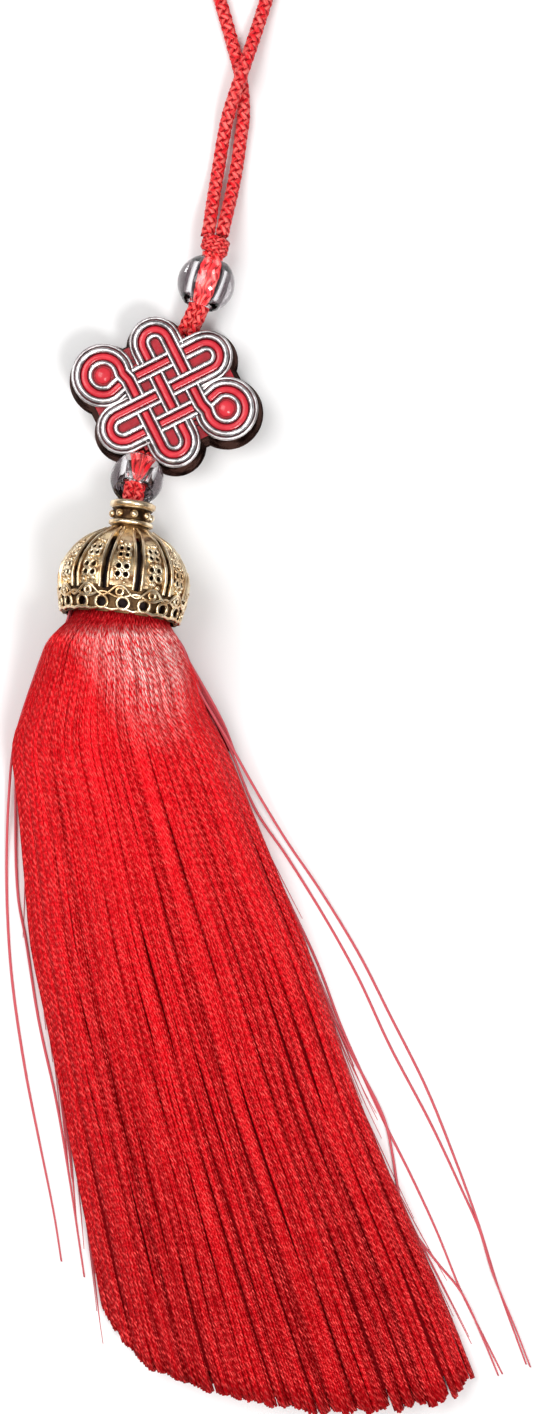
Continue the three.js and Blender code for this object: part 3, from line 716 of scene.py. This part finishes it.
# Each line round the rim: its height, how far it waves, and its lift off the dome.
VINE_ABOVE, VINE_BELOW, RIM_LINE = (2.45, 0.62, 0.0), (1.95, -0.28, -0.03), (0.22, 0.2, -0.05)
COLLAR_HEIGHT, FLANGE_HEIGHT = 11.45, 13.7
COLLAR_BALLS, BALL_HEIGHT, BALL_RADIUS = 8, 12.45, 0.5
BOSS_HEIGHTS, BOSS_APART, FLORET_BOSS = (3.6, 6.1, 8.35), 0.52, 0.3
# The wire of each line of relief.
WIRES = {"collar": 0.3, "flange": 0.44, "slot_edges": 0.19, "vine": 0.18, "rings": 0.2,
         "petals": 0.16, "rim_line": 0.2}
# The shell is dark behind the rings at the rim and between the neck's collars.
HOLLOW_TO, NECK_HOLLOW = 3.0, (11.3, 13.6)
GOLD_RELIEF, RELIEF_TARNISH = (1.0, 0.85, 0.61), (0.60, 0.39, 0.20)
GOLD_SHELL, SHELL_TARNISH = (0.88, 0.69, 0.42), (0.18, 0.085, 0.035)
GOLD_HOLLOW, HOLLOW_TARNISH = (0.16, 0.09, 0.04), (0.03, 0.015, 0.008)


def cap_radius(height):
    """The dome's outer radius at a height over the rim."""
    return np.interp(height, [h for _, h in CAP_OUTER], [r for r, _ in CAP_OUTER])


def on_cap(angle, height, lift=0.0):
    """A point on the dome, at an angle in degrees to the right of its top."""
    radius = cap_radius(height) + lift
    a = math.radians(angle)
    return radius * math.sin(a), height, radius * math.cos(a)


dome = through(np.array([(r, h, 0) for r, h in CAP_OUTER[:9]]), 4)[:, :2]
outside = [(r - SHELL_SINK, h) for r, h in dome.tolist()] + [(r, h) for r, h in CAP_OUTER[9:]]
shell = turned("crown_cap", outside + CAP_INNER, 120)


def cutter_place(angle, height):
    """Where a cutter through the cap's wall goes, and how it is turned."""
    a = math.radians(angle)
    middle = (CUTTER_OUT * math.sin(a) * MM, height * MM, CUTTER_OUT * math.cos(a) * MM)
    return {"location": middle, "rotation": (0, a, 0)}


def peg(radius, angle, height, sides):
    """A cutter for a round hole."""
    bpy.ops.mesh.primitive_cylinder_add(vertices=sides, radius=radius * MM, depth=CUTTER_DEPTH * MM,
                                        **cutter_place(angle, height))
    cutter = bpy.context.object
    cutter.select_set(False)
    return cutter


def slot_cutter(angle):
    """A cutter for a long slot up the dome."""
    bpy.ops.mesh.primitive_cube_add(size=1, **cutter_place(angle, SLOT_MIDDLE))
    cutter = bpy.context.object
    cutter.scale = (SLOT_WIDE * MM, SLOT_LONG * MM, SLOT_DEEP * MM)
    cutter.select_set(False)
    return cutter


slot_angles = [SLOT_FIRST + i * 360 / SLOTS for i in range(SLOTS)]
ring_angles = [RING_FIRST + i * 360 / RINGS for i in range(RINGS)]
panel_angles = [a + 180 / SLOTS for a in slot_angles]
floret_holes = []
for angle in panel_angles:
    for height, reach, size in FLORETS:
        for k in range(4):
            out = math.radians(45 + 90 * k)
            swing = math.degrees(reach * math.cos(out) / cap_radius(height))
            floret_holes.append((angle + swing, height + reach * math.sin(out), size))
cutters = [slot_cutter(a) for a in slot_angles]
cutters += [peg(RING_HOLE, a, RING_HEIGHT, 14) for a in ring_angles]
cutters += [peg(size, a, h, 8) for a, h, size in floret_holes]
cutters += [peg(SCALLOP_RADIUS, a + 180 / RINGS, SCALLOP_HEIGHT, 12) for a in ring_angles]
tools = joined(cutters)
bpy.context.view_layer.update()
settled(tools)
with_modifier(shell, "BOOLEAN", object=tools, operation="DIFFERENCE", solver="EXACT")
bpy.data.objects.remove(tools)


def ring_line(angle, height, radius, count, lift):
    """A small circle on the dome."""
    points = []
    for k in range(count):
        turn = 2 * math.pi * k / count
        swing = math.degrees(radius * math.cos(turn) / cap_radius(height))
        points.append(on_cap(angle + swing, height + radius * math.sin(turn), lift))
    return points


def rim_wave(line, waves, first, shape):
    """A line round the rim that waves up and down, with a crest at the first angle."""
    height, reach, lift = line
    return [on_cap(a, height + reach * shape(math.cos(math.radians((a - first) * waves))), lift)
            for a in np.linspace(0, 360, 289)[:-1]]


def edge_line(angle, side):
    """One edge of a slot, which narrows at its top."""
    line = []
    for height in np.linspace(EDGE_LOW, EDGE_HIGH, 22):
        gap = SLOT_HALF - SLOT_TAPER * max(height - EDGE_NARROWS, 0)
        line.append(on_cap(angle + side * math.degrees(gap / cap_radius(height)), height, -0.06))
    return line


collar, flange = ([on_cap(angle, height) for angle in range(0, 360, 6)]
                  for height in (COLLAR_HEIGHT, FLANGE_HEIGHT))
slot_edges = [edge_line(angle, side) for angle in slot_angles for side in (1, -1)]
vine = [rim_wave(line, SLOTS, panel_angles[0], float) for line in (VINE_ABOVE, VINE_BELOW)]
rings = [ring_line(angle, PANEL_RING_HEIGHT, PANEL_RING_RADIUS, 12, -0.02) for angle in panel_angles]
rings += [ring_line(angle, RING_HEIGHT, RING_RADIUS, 14, -0.04) for angle in ring_angles]
petals = [ring_line(a, h, size + PETAL_RIM, 10, -0.1) for a, h, size in floret_holes]
rim_line = rim_wave(RIM_LINE, RINGS / 2, RING_FIRST, abs)
lines_by_name = {"collar": [collar], "flange": [flange], "slot_edges": slot_edges, "vine": vine,
                 "rings": rings, "petals": petals, "rim_line": [rim_line]}
relief = [wires(name, lines, WIRES[name], name != "slot_edges", 1)
          for name, lines in lines_by_name.items()]

# Balls on the neck and bosses on the panels: angle, height, lift off the dome and radius.
bosses = [(360 * k / COLLAR_BALLS + 10, BALL_HEIGHT, 0.12, BALL_RADIUS) for k in range(COLLAR_BALLS)]
scatter = np.random.default_rng(21)
for angle in panel_angles:
    for height in BOSS_HEIGHTS:
        for side in (-1, 0, 1):
            aside = side * BOSS_APART + scatter.uniform(-0.14, 0.14)
            swing = math.degrees(aside / cap_radius(height))
            bosses.append((angle + swing, height + scatter.uniform(-0.3, 0.3), -0.12,
                           scatter.uniform(0.2, 0.32)))
    bosses += [(angle, height, -0.16, FLORET_BOSS) for height, *_ in reversed(FLORETS)]
for angle, height, lift, radius in bosses:
    x, y, z = on_cap(angle, height, lift)
    bpy.ops.mesh.primitive_uv_sphere_add(segments=12, ring_count=7, radius=radius * MM,
                                         location=(x * MM, y * MM, z * MM))
    ball = bpy.context.object
    bpy.ops.object.transform_apply(location=True, rotation=True, scale=True)
    bpy.ops.object.shade_smooth()
    ball.select_set(False)
    relief.append(ball)
sleeve = turned("sleeve", SLEEVE_OUTER + SLEEVE_INNER, 60)

gold_relief, *_ = metal("gold_relief", GOLD_RELIEF, RELIEF_TARNISH, 0.3, 600)
gold_shell, *_ = metal("gold_shell", GOLD_SHELL, SHELL_TARNISH, 0.36, 650,
                       tarnish=(0.44, 0.6), grains=1100, grain=0.16)
gold_hollow, *_ = metal("gold_hollow", GOLD_HOLLOW, HOLLOW_TARNISH, 0.5, 600)
# Painted shade: the lining stands for the dark inside the cap.
painted_shade_lining, *_ = new_material("painted_shade_lining", (0.02, 0.008, 0.008), 0.8)
shell.data.materials.append(gold_shell)
shell.data.materials.append(gold_hollow)
for face in shell.data.polygons:
    height = face.center.y / MM
    hollow = height < HOLLOW_TO or NECK_HOLLOW[0] < height < NECK_HOLLOW[1]
    face.material_index = 1 if hollow else 0
for part in relief:
    part.data.materials.append(gold_relief)
sleeve.data.materials.append(painted_shade_lining)
cap = stood(joined([shell, *relief, sleeve]), RIM_AT, CAP_RUN)
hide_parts("cap")
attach(cap, "root")

# Skirt: about a thousand silky threads, each twisted from two plies, bound in the cap. They
# leave it as a round bundle, fan out into locks on the table, and are trimmed at the end.
SECTIONS = np.array([
    # y, left edge, right edge, middle height, height, lying (0 in the cap, 1 on the table)
    (31.5, -22.0, -12.4, 8.0, 9.8, 0),
    (27.0, -22.9, -12.3, 8.3, 10.8, 0),
    (24.8, -23.5, -12.3, 8.4, 11.2, 0),
    (23.4, -24.9, -11.9, 8.45, 11.8, 0),
    (22.3, -26.0, -11.2, 8.5, 13.1, 0.05),
    (21.2, -26.8, -10.6, 8.4, 13.8, 0.15),
    (17.2, -28.5, -8.8, 7.3, 13.8, 0.6),
    (12.8, -30.05, -7.65, 6.6, 12.9, 0.83),
    (9.5, -31.2, -5.7, 6.1, 12.2, 1),
    (-15.0, -29.1, 4.2, 4.3, 8.6, 1),
    (-34.0, -25.3, 10.8, 3.7, 7.3, 1),
    (-60.0, -20.3, 21.7, 3.0, 5.9, 1),
    (-72.0, -17.5, 26.4, 2.5, 5.0, 1),
])
# Where the threads are cut, by their place across the skirt from -1 to 1.
CUT_ENDS = [(-1, -59.0), (-0.93, -63.0), (-0.8, -66.2), (-0.5, -68.6), (-0.2, -70.2), (0.1, -71.4),
            (0.5, -70.9), (0.8, -70.2), (1, -67.4)]
STATIONS = np.array([31.5, 27.0, 24.8, 23.4, 22.3, 21.2, 19.4, 17.2, 13.6, 9.5, 2.0, -6.0, -15.0,
                     -24.5, -34.0, -47.0, -60.0])
# The skirt's height at its two sides, of that in its middle.
SIDE_SHARE = 0.22
THREAD_RADIUS = 0.205
# The threads start finer in the cap and have their full girth where they lie on the table.
ROOT_GIRTH, FINE_ABOVE, FULL_BELOW = 0.62, 25, 5
# The locks: how many at most, their usual width across the skirt, how far out their sides
# are, as a share of that width, and how much lower the sides lie.
LOCKS, LOCK_WIDTH, LOCK_SHARE, LOCK_DIP = 80, 0.055, 0.55, 0.10
LOCK_SEED, LOCK_SWAY_SEED = 7, 11
# How far across the skirt locks and threads wander, and over what lengths along it. All are
# held still in the cap, and are freed over a length below it.
LOCK_SWAY, LOCK_WAVES = 0.008, (38, 71)
THREAD_SWAY, THREAD_WAVES = 0.0035, (17, 33)
LEVEL_SWAY, LEVEL_WAVES = 0.012, (23,)
FREE_FROM, FREE_OVER = 24, 60
# Each of these runs across the skirt, as a place from -1 to 1 and a value there: how ragged
# the cut is, how far a lock draws its threads together, how dark a lock's sides are painted, as
# shade in the grooves between locks, and how much darker all threads are.
RAGGED = (-1, -0.2, 0.3, 1), (0.3, 0.45, 1, 1)
DRAWN_IN = (-1, -0.3, 0.2, 1), (0.06, 0.10, 0.20, 0.22)
SHADED_LOCK_SIDES = (-1, -0.4, 0.2, 1), (0.32, 0.36, 0.55, 0.82)
DIMMED = (-1, -0.6, -0.35, 0.65, 0.85), (0.26, 0.26, 0, 0, 0.12)
# Each pair is a thread of the darkest and of the brightest tone, high on the skirt and at its
# ends, and the fade, which is painted shade, goes from one pair to the other down the skirt and
# a little to the right.
SILK_HIGH = (0.50, 0.001, 0.004), (0.96, 0.008, 0.018)
SILK_ENDS = (0.24, 0.0, 0.002), (0.62, 0.003, 0.008)
# Three painted colours: a glint on the twists, a highlight on the crown and shade under the cap's
# rim.
SILK_PAINTED_GLINT, SILK_PAINTED_HIGHLIGHT, CAP_SHADE = (1.0, 0.075, 0.07), (1.0, 0.90, 0.84), (0.26, 0.0, 0.003)
FADE_SLANT, FADE_RANGE = -0.35, (18, -58)
GLINT_FLECKS = (0.44, 0.66)
# The painted highlight: where it ends and where it is full, to either side of its slanting
# middle line, down the skirt and in height, then over the threads' tones, flecks and ridges.
HIGHLIGHT_SKEW, HIGHLIGHT_SLANT = 2.6, 0.55
HIGHLIGHT_SIDE, HIGHLIGHT_DOWN, HIGHLIGHT_HEIGHT = (10.0, 2.5), (7.5, 18.5), (8.5, 12.0)
HIGHLIGHT_TONES, HIGHLIGHT_FLECKS, HIGHLIGHT_RIDGES = (-0.3, 0.9), (0.34, 0.54), (-0.1, 0.7)
# The shade under the cap's rim: where it starts and is full along the skirt, and how deep.
SHADE_RANGE, SHADE_SHARE = (22.5, 23.9), 0.7


def section_at(y):
    """The skirt's edges, heights and lie at a place along it."""
    rows = SECTIONS[::-1]
    return [np.interp(y, rows[:, 0], rows[:, k]) for k in range(1, 6)]


def place_in_skirt(across, up, y):
    """A point in the skirt: across it from -1 to 1, and up it from 0 to 1."""
    left, right, middle, height, lying = section_at(y)
    share = SIDE_SHARE + (1 - SIDE_SHARE) * np.sqrt(np.clip(1 - across**2, 0, 1))
    in_bundle = middle + (up - 0.5) * height * share
    in_mound = up * height * share
    x = (left + right) / 2 + across * (right - left) / 2
    return np.stack([x, y + np.zeros_like(x), in_bundle + lying * (in_mound - in_bundle)], axis=-1)


def cut_at(across):
    """Where the skirt is cut at a place across it."""
    return np.interp(across, *zip(*CUT_ENDS))


def sway(rng, count, y, size, waves):
    """Slow, smooth wandering along the threads."""
    total = np.zeros((count, len(y[0])))
    for length in waves:
        phase = rng.uniform(0, 2 * math.pi, (count, 1))
        total += size * rng.normal(0, 1, (count, 1)) * np.sin(2 * math.pi * y / length + phase)
    return total


def thread_layer(name, seed, count, low, high):
    """Threads across the skirt's width, between two levels of it."""
    rng = np.random.default_rng(seed)
    start = np.linspace(-1, 1, count) + rng.uniform(-0.5, 0.5, count) / count
    start = np.clip(start, -0.995, 0.995)
    cut = cut_at(start) + rng.uniform(-0.15, 0.25, count)
    locks = np.cumsum(np.random.default_rng(LOCK_SEED).uniform(0.6, 1.5, LOCKS)) * LOCK_WIDTH - 1.05
    lock = np.abs(start[:, None] - locks[None, :]).argmin(axis=1)
    away = (start - locks[lock])[:, None]
    cut += np.interp(start, *RAGGED) * (0.3 * np.sin(2.1 * lock) + 5 * np.abs(away[:, 0]))
    y = np.concatenate([np.maximum(STATIONS[None, :], cut[:, None] + 1.5), cut[:, None]], axis=1)
    freed = np.clip((FREE_FROM - y) / FREE_OVER, 0, 1)
    lock_rng = np.random.default_rng(LOCK_SWAY_SEED)
    lock_y = np.repeat(y[:1], LOCKS, axis=0)
    lock_sway = sway(lock_rng, LOCKS, lock_y, LOCK_SWAY, LOCK_WAVES)[lock]
    across = start[:, None] - np.interp(start, *DRAWN_IN)[:, None] * freed * away + freed * lock_sway
    across += freed * sway(rng, count, y, THREAD_SWAY, THREAD_WAVES)
    across = np.clip(across, -1, 1)
    level = rng.uniform(low, high, (count, 1))
    lock_side = np.clip(np.abs(away) / LOCK_WIDTH / LOCK_SHARE, 0, 1) ** 2
    dip = 1 - LOCK_DIP * freed * lock_side * (level > 0.5)
    up = level * dip + sway(rng, count, y, LEVEL_SWAY, LEVEL_WAVES)
    lines = through(place_in_skirt(across, np.clip(up, 0.0, 1.0), y), 3)
    girth = np.interp(-lines[..., 1], [-FINE_ABOVE, -FULL_BELOW], [ROOT_GIRTH, 1.0])
    lines[..., 2] = np.maximum(lines[..., 2], THREAD_RADIUS * 1.02)
    wide = np.zeros_like(lines) + (1, 0, 0)
    # Painted shade: threads at a lock's sides are darker, as in the grooves between locks.
    darker = np.interp(start, *SHADED_LOCK_SIDES) * lock_side[:, 0] + np.interp(start, *DIMMED)
    tones = np.clip(rng.uniform(0.3, 1, count) - darker, 0, 1)
    layer = strands(name, lines, wide, THREAD_RADIUS, THREAD_RADIUS, 5, tones, girth)
    layer.data.materials.append(silk)
    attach(layer, "root")
    return layer


silk, tree, shader = new_material("red_silk", (0.62, 0.012, 0.02), 0.34, 0.3, specular=0.12)
yarn = with_group(tree, yarn_twist, Ridges=2.0, Pitch=0.9)
spot = placed(tree)
# Painted shade: the threads darken down the skirt and a little to the right.
down = maths(tree, "MULTIPLY_ADD", spot[0], FADE_SLANT, spot[1])
fade = ramped(tree, down, FADE_RANGE, MM)
high_silk = blended(tree, yarn["Tone"], *SILK_HIGH)
end_silk = blended(tree, yarn["Tone"], *SILK_ENDS)
body = blended(tree, fade, high_silk, end_silk)
# Painted glint: brighter red on the twists' crests, broken by the flecks.
painted_sparkle = maths(tree, "MULTIPLY", yarn["Ridge"], ramped(tree, yarn["Fleck"], GLINT_FLECKS))
body = blended(tree, painted_sparkle, body, SILK_PAINTED_GLINT)

# The painted highlight, pale on the crown of the skirt, lies in a slanting band on its upper
# threads alone, and breaks up over their tones, flecks and ridges. The cap's rim shades the
# threads above it, with painted shade.
aside = maths(tree, "ABSOLUTE", maths(tree, "MULTIPLY_ADD", spot[1], HIGHLIGHT_SLANT, HIGHLIGHT_SKEW * MM))
aside = maths(tree, "ABSOLUTE", maths(tree, "ADD", spot[0], aside))
shade = ramped(tree, spot[1], SHADE_RANGE, MM)
painted_highlight = ramped(tree, aside, HIGHLIGHT_SIDE, MM)
for share in (
    ramped(tree, spot[1], HIGHLIGHT_DOWN, MM), maths(tree, "SUBTRACT", 1.0, shade),
    ramped(tree, spot[2], HIGHLIGHT_HEIGHT, MM), ramped(tree, yarn["Tone"], HIGHLIGHT_TONES),
    ramped(tree, yarn["Fleck"], HIGHLIGHT_FLECKS), ramped(tree, yarn["Ridge"], HIGHLIGHT_RIDGES),
):
    painted_highlight = maths(tree, "MULTIPLY", painted_highlight, share)
body = blended(tree, painted_highlight, body, SILK_PAINTED_HIGHLIGHT)
body = blended(tree, maths(tree, "MULTIPLY", shade, SHADE_SHARE), body, CAP_SHADE)
tree.links.new(body, shader.inputs["Base Color"])
raised(tree, shader, yarn["Ridge"], 0.06)

# A body inside the skirt, a little smaller all round and dark with painted shade, so that the
# gaps between the locks look into more thread and not through to the table.
CORE_SIDE, CORE_TOP, CORE_FLOOR, CORE_FROM, CORE_SHORT = 0.93, 0.86, 0.04, 24.0, 2.5
HALF_RING, CORE_RINGS = 40, 60

over = np.linspace(-CORE_SIDE, CORE_SIDE, HALF_RING)
core_across = np.concatenate([over, over[::-1]])
core_up = np.repeat([CORE_TOP, CORE_FLOOR], HALF_RING)
core_cut = cut_at(core_across) + CORE_SHORT
core_rows = [place_in_skirt(core_across, core_up, CORE_FROM + share * (core_cut - CORE_FROM))
             for share in np.linspace(0, 1, CORE_RINGS) ** 1.4]
index = np.arange(CORE_RINGS * 2 * HALF_RING).reshape(CORE_RINGS, -1)
ahead = np.roll(index, -1, axis=1)
quads = np.stack([index[:-1], index[1:], ahead[1:], ahead[:-1]], axis=-1).reshape(-1, 4).tolist()
ends = [index[0].tolist(), index[-1, ::-1].tolist()]
core_mesh = bpy.data.meshes.new("skirt_core")
core_mesh.from_pydata((np.array(core_rows).reshape(-1, 3) * MM).tolist(), [], quads + ends)
skirt_core = added("skirt_core", core_mesh)
# Painted shade: the core is coloured as thread deep in shade.
painted_shade_silk, *_ = new_material("painted_shade_silk", (0.17, 0.001, 0.003), 0.8, specular=0.05)
skirt_core.data.materials.append(painted_shade_silk)
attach(skirt_core, "root")

# Each layer: its name, random seed, number of threads, and its lowest and highest level.
top = thread_layer("skirt_top", 1, 130, 0.985, 1.0)
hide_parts("tassel_skirt")
thread_layer("skirt_second", 2, 210, 0.93, 0.975)
thread_layer("skirt_middle", 5, 260, 0.7, 0.93)
thread_layer("skirt_under", 3, 230, 0.35, 0.7)
thread_layer("skirt_lower", 4, 200, 0.0, 0.35)

# Strays: six threads that have come away from the skirt and lie beside it on the table, a
# fringe of finer filaments along its two edges, and a bundle of threads at its right shoulder.
STRAYS = [
    [(-11.8, 30, 9.6), (-12.4, 23.3, 9.9), (-10.9, 21.8, 9.7), (-9.2, 17.2, 7.0), (-4.9, 9.5, 3.6),
     (-1.8, 3.9, 2.2), (2.0, -2.4, 1.2), (5.8, -8.0, 0.6), (10.8, -16.2, 0.2), (14.6, -23.7, 0),
     (19.0, -32.5, 0), (22.1, -40.1, 0), (25.3, -48.8, 0), (28.1, -57.7, 0), (31.3, -66.5, 0)],
    [(-11.8, 30, 8.0), (-12.4, 23.3, 8.3), (-10.9, 21.8, 7.8), (-9.2, 17.2, 5.2), (-5.2, 9.5, 2.4),
     (-1.8, 1.4, 1.0), (2.0, -4.3, 0.4), (7.0, -12.4, 0), (10.8, -19.3, 0), (14.6, -27.5, 0),
     (19.6, -37.0, 0), (23.4, -45.1, 0), (25.6, -50.1, 0), (27.1, -55.1, 0.4), (30.0, -62.1, 0.4),
     (31.8, -66.8, 0.2)],
    [(-11.8, 30, 6.4), (-12.4, 23.3, 6.7), (-10.9, 21.8, 5.8), (-9.0, 17.2, 2.9), (-5.9, 9.5, 1.0),
     (-1.1, -2.4, 0.4), (2.0, -9.3, 0), (5.8, -17.5, 0), (8.6, -25.0, 0), (11.1, -30.7, 0),
     (14.0, -37.0, 0), (17.1, -43.2, 0), (20.3, -50.1, 0), (23.4, -57.7, 0), (26.5, -63.9, 0),
     (28.4, -67.7, 0)],
    [(-3.0, -2.0, 0.6), (3.0, -14.0, 0.2), (8.6, -26.0, 0.1), (13.9, -36.4, 0.3), (14.9, -40.7, 0.2),
     (15.9, -46.4, 0), (17.1, -49.5, 0), (20.3, -53.9, 0), (23.4, -57.7, 0.4), (26.0, -63.3, 0.3),
     (27.9, -67.9, 0)],
    [(-23.0, 30, 8.9), (-24.6, 23.3, 9.1), (-26.3, 21.8, 9.0), (-28.5, 17.2, 6.2), (-31.2, 9.5, 2.2),
     (-31.9, 3.9, 1.0), (-32.3, -4.3, 0.2), (-32.2, -11.8, 0), (-31.6, -19.9, 0), (-30.0, -30.7, 0),
     (-28.4, -38.8, 0), (-26.5, -48.2, 0), (-25.6, -53.9, 0)],
    [(-23.0, 30, 7.2), (-24.6, 23.3, 7.0), (-26.3, 21.8, 6.6), (-28.5, 17.2, 3.4), (-30.8, 9.5, 1.0),
     (-31.2, 0.8, 0.3), (-30.9, -9.3, 0), (-30.0, -14.3, 0), (-28.4, -24.3, 0), (-26.2, -34.4, 0),
     (-24.7, -43.2, 0), (-22.8, -55.8, 0)],
]
STRAY_RADIUS, WISP_RADIUS = 0.17, 0.06
STRAY_STEP = 0.9
WISPS, WISP_POINTS, WISP_RISE = 44, 12, 0.9
# Where the filaments start along the skirt, how long they are, and where they end at most.
WISP_START, WISP_LENGTH, WISP_LAST = (-38, 12), (18, 34), -64
# The bundle: how many threads, how many of them lie in the dark and are coloured with painted
# shade, and how far one lies over the next.
BUNDLE, DARK_IN_BUNDLE, BUNDLE_STEP = 7, 4, 0.5

loose, *_ = new_material("loose_silk", (0.62, 0.09, 0.11), 0.45, specular=0.3)
routes = [(through(route, 12), STRAY_RADIUS) for route in STRAYS]
drift = np.random.default_rng(31)
for k in range(WISPS):
    side = -1 if k % 2 else 1
    begin = drift.uniform(*WISP_START)
    y = np.linspace(begin, max(begin - drift.uniform(*WISP_LENGTH), WISP_LAST), WISP_POINTS)
    left, right, *_ = section_at(y)
    edge = left if side < 0 else right
    leaving = np.linspace(0, 1, WISP_POINTS) ** 1.6 * drift.uniform(0.3, 2.0)
    height = WISP_RISE * np.linspace(1, 0, WISP_POINTS) ** 2
    route = np.stack([edge + side * (leaving - 0.5), y, height], axis=-1)
    routes.append((through(route, 4), WISP_RADIUS))
for k in range(BUNDLE):
    up = BUNDLE_STEP * k
    route = [(-12.3, 27.0, 5.2 + up), (-12.6, 23.3, 5.2 + up), (-11.6 + 0.12 * k, 21.2, 4.4 + up),
             (-9.6 + 0.2 * k, 17.0, 2.4 + up), (-8.1 + 0.23 * k, 14.0, 1.2 + up),
             (-6.9 + 0.23 * k, 11.6, 0.3 + 0.8 * up), (-5.2 + 0.17 * k, 8.7 - 0.1 * k, 0.5 * up)]
    routes.append((through(route, 12), THREAD_RADIUS if k < DARK_IN_BUNDLE else STRAY_RADIUS))
strays = []
for k, (route, radius) in enumerate(routes):
    line = evenly(route, STRAY_STEP)
    line[:, 2] = np.maximum(line[:, 2], 0) + radius
    girth = np.interp(np.linspace(0, 1, len(line)), [0, 0.7, 1], [1, 1, 0.6])[None]
    wide = np.zeros_like(line[None]) + (1, 0, 0)
    stray = strands("stray_threads" if k == 0 else f"stray_{k}", line[None], wide, radius, radius, 5,
                    np.array([0.5]), girth)
    # Threads in the bundle's dark get the painted shade silk.
    stray.data.materials.append(painted_shade_silk if radius == THREAD_RADIUS else loose)
    strays.append(stray)
strays = joined(strays)
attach(strays, "root")

# Table and light: a plain pale floor under a soft dome that is bright overhead and dim at the
# horizon, a key light from the upper left, and a small one beyond the skirt for its sheen.
FLOOR_SIZE = 4
LIT_POINT = (-0.01, 0.02, 0)
DOME_LOW, DOME_HIGH, DOME_FALL = (0.10, 0.10, 0.11), (1.0, 1.0, 1.0), 3.0
# Each light: its name, place and size in metres, and power in watts.
LIGHTS = [
    ("key", (-0.22, 0.14, 0.40), 0.28, 1.25),
    ("sheen", (0.14, -0.16, 0.40), 0.12, 1.0),
]

bpy.ops.mesh.primitive_plane_add(size=FLOOR_SIZE, location=(0, 0, 0))
floor = bpy.context.object
floor.name = "floor"
floor_material, *_ = new_material("pale_floor", (0.90, 0.895, 0.89), 0.9)
floor.data.materials.append(floor_material)
world = bpy.data.worlds.new("studio")
bpy.context.scene.world = world
world.use_nodes = True
tree = world.node_tree
sky = tree.nodes.new("ShaderNodeTexCoord")
direction = tree.nodes.new("ShaderNodeSeparateXYZ")
tree.links.new(sky.outputs["Generated"], direction.inputs[0])
upward = maths(tree, "POWER", direction.outputs[2], DOME_FALL)
dome = tree.nodes["Background"]
tree.links.new(blended(tree, upward, DOME_LOW, DOME_HIGH), dome.inputs["Color"])
dome.inputs["Strength"].default_value = 1.0
for name, place, size, power in LIGHTS:
    bpy.ops.object.light_add(type="AREA", location=place)
    light = bpy.context.object
    light.name = name
    light.data.size = size
    light.data.energy = power
    light.rotation_mode = "QUATERNION"
    light.rotation_quaternion = (Vector(LIT_POINT) - light.location).to_track_quat("-Z", "Y")
bpy.context.scene.view_settings.view_transform = "Standard"
